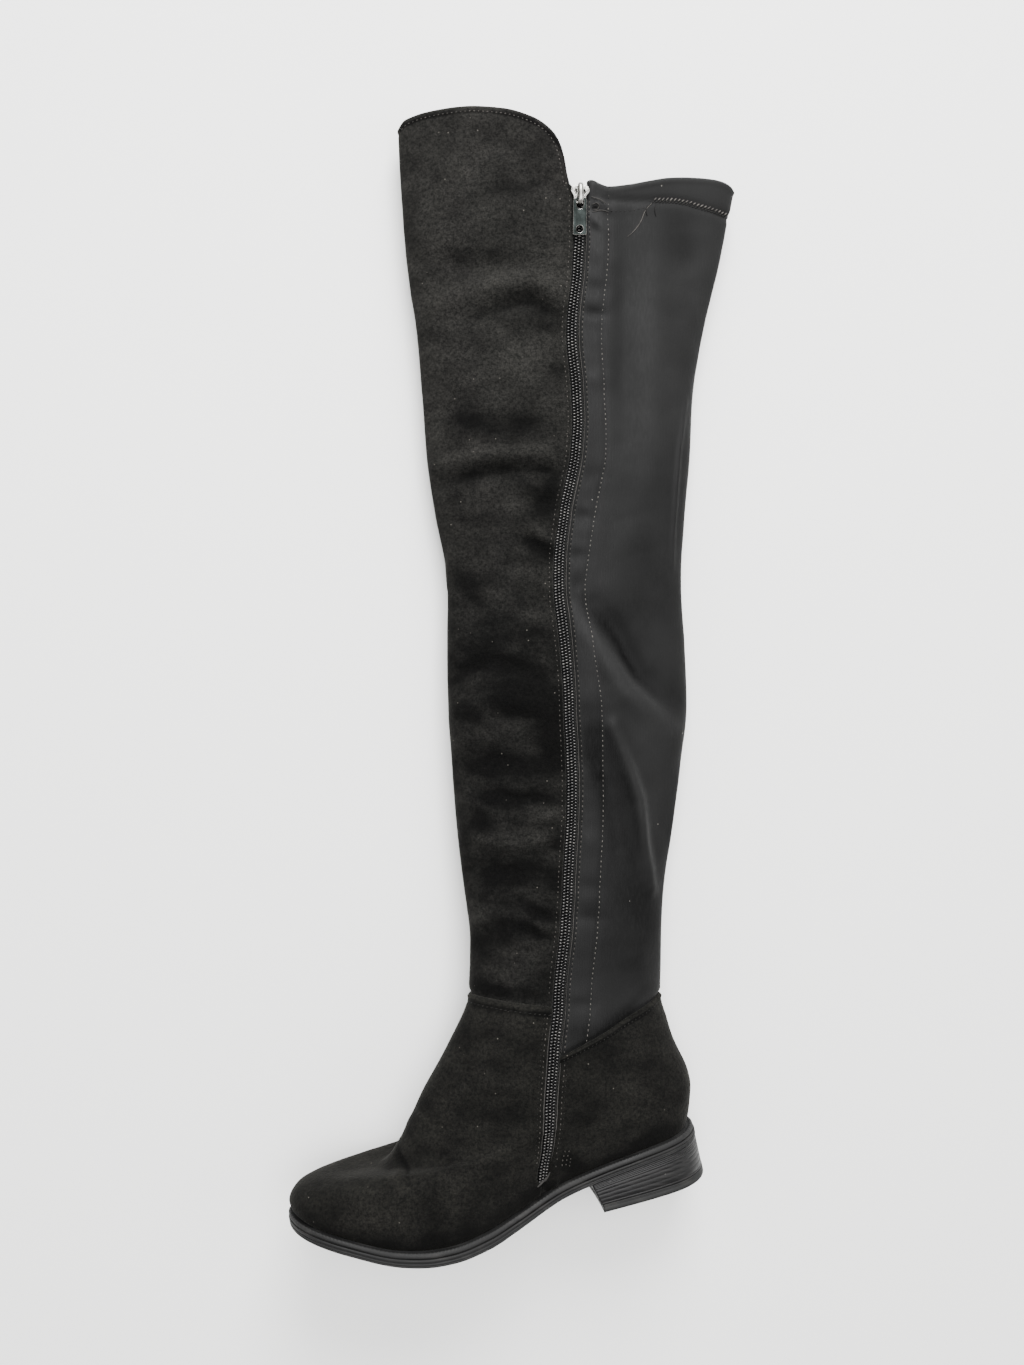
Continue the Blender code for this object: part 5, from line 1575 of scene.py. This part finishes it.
# ---- slider and pull, in the slider's own frame: down the zip, across it, out
pull = {
    "bodyLong": 12.0, "bodyWide": 12.6, "bodyNeck": 8.0,
    "bailLong": 12.6, "bailHigh": 4.6, "bailWide": 3.2, "bailThick": 1.7,
    "plateLong": 22.8, "plateWide": 9.0, "plateThick": 1.3,
    "eyeWide": 4.6, "eyeLong": 5.6, "holeWide": 4.4,
    "sag": 3.0,            # degrees the pull drops towards its tip
    "lean": -3.4,          # degrees it hangs aside of the zip, loose on its bail
}


def flatPlate(outlines, half, bevel):  # points and faces of a plate with holes
    curve = bpy.data.curves.new("plate", "CURVE")
    curve.dimensions = "2D"
    curve.fill_mode = "BOTH"
    curve.extrude = half - bevel
    curve.bevel_depth = bevel
    curve.bevel_resolution = 3
    curve.offset = -bevel
    for outline in outlines:
        spline = curve.splines.new("POLY")
        spline.points.add(len(outline) - 1)
        spline.points.foreach_set("co", [c for x, y in outline for c in (x, y, 0.0, 1.0)])
        spline.use_cyclic_u = True
    mesh = solidOf(putInScene("plate", curve))
    shape = bmesh.new()
    shape.from_mesh(mesh)
    bmesh.ops.remove_doubles(shape, verts=shape.verts, dist=0.002)
    bmesh.ops.recalc_face_normals(shape, faces=shape.faces)
    points = np.array([v.co[:] for v in shape.verts])
    faces = [[v.index for v in f.verts] for f in shape.faces]
    flat = [abs(f.normal.z) > 0.95 for f in shape.faces]
    shape.free()
    bpy.data.meshes.remove(mesh)
    bpy.data.curves.remove(curve)
    return points, faces, flat


def rounded(outline, radius):  # a polygon with its corners rounded
    points = np.array(outline, float)
    done = []
    for n in range(len(points)):
        last, here, ahead = points[n - 1], points[n], points[(n + 1) % len(points)]
        a, b = last - here, ahead - here
        r = min(radius, 0.45 * np.linalg.norm(a), 0.45 * np.linalg.norm(b))
        a, b = here + a / np.linalg.norm(a) * r, here + b / np.linalg.norm(b) * r
        for t in np.linspace(0.0, 1.0, 6):
            done.append((1 - t) ** 2 * a + 2 * t * (1 - t) * here + t * t * b)
    return [tuple(p) for p in done]


def circle(x, y, radius):
    turn = np.linspace(0.0, 2 * math.pi, 28, endpoint=False)
    return [(x + radius * math.cos(t), y + radius * math.sin(t)) for t in turn]


def inSlider(points):
    points = np.asarray(points)
    return (sliderCentre + points[:, :1] * sliderDown + points[:, 1:2] * sliderAcross
            + points[:, 2:3] * sliderOut)


half, wide, neck = 0.5 * pull["bodyLong"], 0.5 * pull["bodyWide"], 0.5 * pull["bodyNeck"]
bodyOutline = rounded([
    (half, -neck), (half, neck), (0.2 * half, neck), (-0.35 * half, wide),
    (-0.8 * half, wide - 0.6), (-half, 0.52 * wide), (-0.92 * half, 0.2 * wide),
    (-0.92 * half, -0.2 * wide), (-half, -0.52 * wide), (-0.8 * half, -wide + 0.6),
    (-0.35 * half, -wide), (0.2 * half, -neck)], 1.2)
dimples = [rounded([(-0.62 * half, s * 0.42 * wide), (-0.3 * half, s * 0.6 * wide),
                    (0.1 * half, s * 0.42 * wide), (-0.2 * half, s * 0.3 * wide)], 0.5)
           for s in (-1, 1)]
platePoints, plateFaces, _ = flatPlate([bodyOutline, *dimples], 0.62, 0.3)
lowPoints, lowFaces, _ = flatPlate([bodyOutline], 0.5, 0.25)
share = np.linspace(0.0, 1.0, 33)
bail = np.stack([
    pull["bailLong"] * 0.5 * -np.cos(math.pi * share),
    0.35 * np.sin(2 * math.pi * share),
    boot["sliderTop"] + pull["bailHigh"] * np.sin(math.pi * share) ** 0.55 - 0.6], axis=1)
bailPoints, bailFaces = tubeAlong(bail, (0.0, 1.0, 0.0), 0.5 * pull["bailWide"],
                                  0.5 * pull["bailThick"], 16)
points, faces = joined([
    (inSlider(platePoints + (0.0, 0.0, boot["sliderTop"] - 0.3)), plateFaces),
    (inSlider(lowPoints * (0.9, 0.62, 1.0) + (0.0, 0.0, -0.9)), lowFaces),
    (inSlider(bailPoints), bailFaces)])
finishPiece(makeMesh("zip_slider_plated", points, faces, [finishes["nickel"]]), ["zip_slider"])

sag = math.radians(pull["sag"])
pullDown = sliderDown * math.cos(sag) - sliderOut * math.sin(sag)
pullOut = sliderOut * math.cos(sag) + sliderDown * math.sin(sag)
wide, long = 0.5 * pull["plateWide"], pull["plateLong"]
plateOutline = rounded([
    (-0.8, -wide + 1.4), (0.6, -wide), (long - 0.4, -wide), (long, -wide + 0.8),
    (long, wide - 0.8), (long - 0.4, wide), (0.6, wide), (-0.8, wide - 1.4)], 0.9)
eyeEnd = 0.75 + pull["eyeLong"]
eye = rounded([(0.75, -0.5 * pull["eyeWide"]), (0.75, 0.5 * pull["eyeWide"]),
               (eyeEnd - 1.7, 0.46 * pull["eyeWide"]), (eyeEnd, 0.24 * pull["eyeWide"]),
               (eyeEnd, -0.24 * pull["eyeWide"]), (eyeEnd - 1.7, -0.46 * pull["eyeWide"])], 0.9)
hole = circle(long - 3.8, 0.0, 0.5 * pull["holeWide"])
platePoints, plateFaces, flat = flatPlate([plateOutline, eye, hole], 0.5 * pull["plateThick"], 0.6)
lean = math.radians(pull["lean"])
along = platePoints[:, :1] * math.cos(lean) - platePoints[:, 1:2] * math.sin(lean)
across = platePoints[:, :1] * math.sin(lean) + platePoints[:, 1:2] * math.cos(lean)
points = hingePoint + along * pullDown + across * sliderAcross + platePoints[:, 2:3] * pullOut
plate = makeMesh("zip_pull_plate", points, plateFaces,
                 [finishes["nickel"], finishes["darkPlate"]], flat)
finishPiece(plate, ["zip_pull"], "zip_pull")
print("slider ready")

# ---- floor, light and camera
studio = {
    "floorHalf": 3.0, "floorDrop": 0.0002, "paper": "#f0f0ef", "air": "#f4f4f3", "airStrength": 0.8,
    # side, where it stands (x, y, z in metres), watts
    "lamps": ((1.1, (0.15, 1.55, 1.15), 95.0), (1.6, (0.0, 0.1, 1.9), 62.0),
              (0.9, (1.4, -0.1, 0.9), 6.0), (0.9, (-1.4, -0.1, 0.9), 6.0)),
    "eye": (-0.0873, -0.0277, 0.7774), "lens": 29.77, "shift": (0.0951, 0.0222),
}
size = studio["floorHalf"]
floorMesh = bpy.data.meshes.new("floor")
floorMesh.from_pydata([(size * x, size * y, -studio["floorDrop"])
                       for x, y in ((-1, -1), (1, -1), (1, 1), (-1, 1))], [], [(0, 1, 2, 3)])
# matt paper, a touch uneven
floorMesh.materials.append(makeFinish(
    "paper sweep", {"Roughness": 0.9, "IOR": 1.4}, [("cloud", 400.0, 2.0, *even)],
    [studio["paper"], (studio["air"], ("cloud", 0.0, 1.0, 0.0, 1.0))]))
floor = putInScene("floor", floorMesh)

world = bpy.data.worlds.new("studio air")
world.use_nodes = True
feed(world.node_tree.nodes["Background"],
     {"Color": hexColour(studio["air"]), "Strength": studio["airStrength"]})
bpy.context.scene.world = world
for number, (side, at, watts) in enumerate(studio["lamps"]):
    lamp = bpy.data.lights.new(f"softbox_{number}", "AREA")
    lamp.size, lamp.energy = side, watts
    holder = putInScene(f"softbox_{number}", lamp)
    holder.location = at
    holder.rotation_euler = (-Vector(at)).to_track_quat("-Z", "Y").to_euler()

eyeData = bpy.data.cameras.new("camera")
eyeData.lens = studio["lens"]
eyeData.sensor_width = 36.0
eyeData.shift_x, eyeData.shift_y = studio["shift"]
eyeData.clip_start = 0.01
camera = putInScene("camera", eyeData)
camera.location = studio["eye"]
bpy.context.scene.camera = camera
print("studio ready")
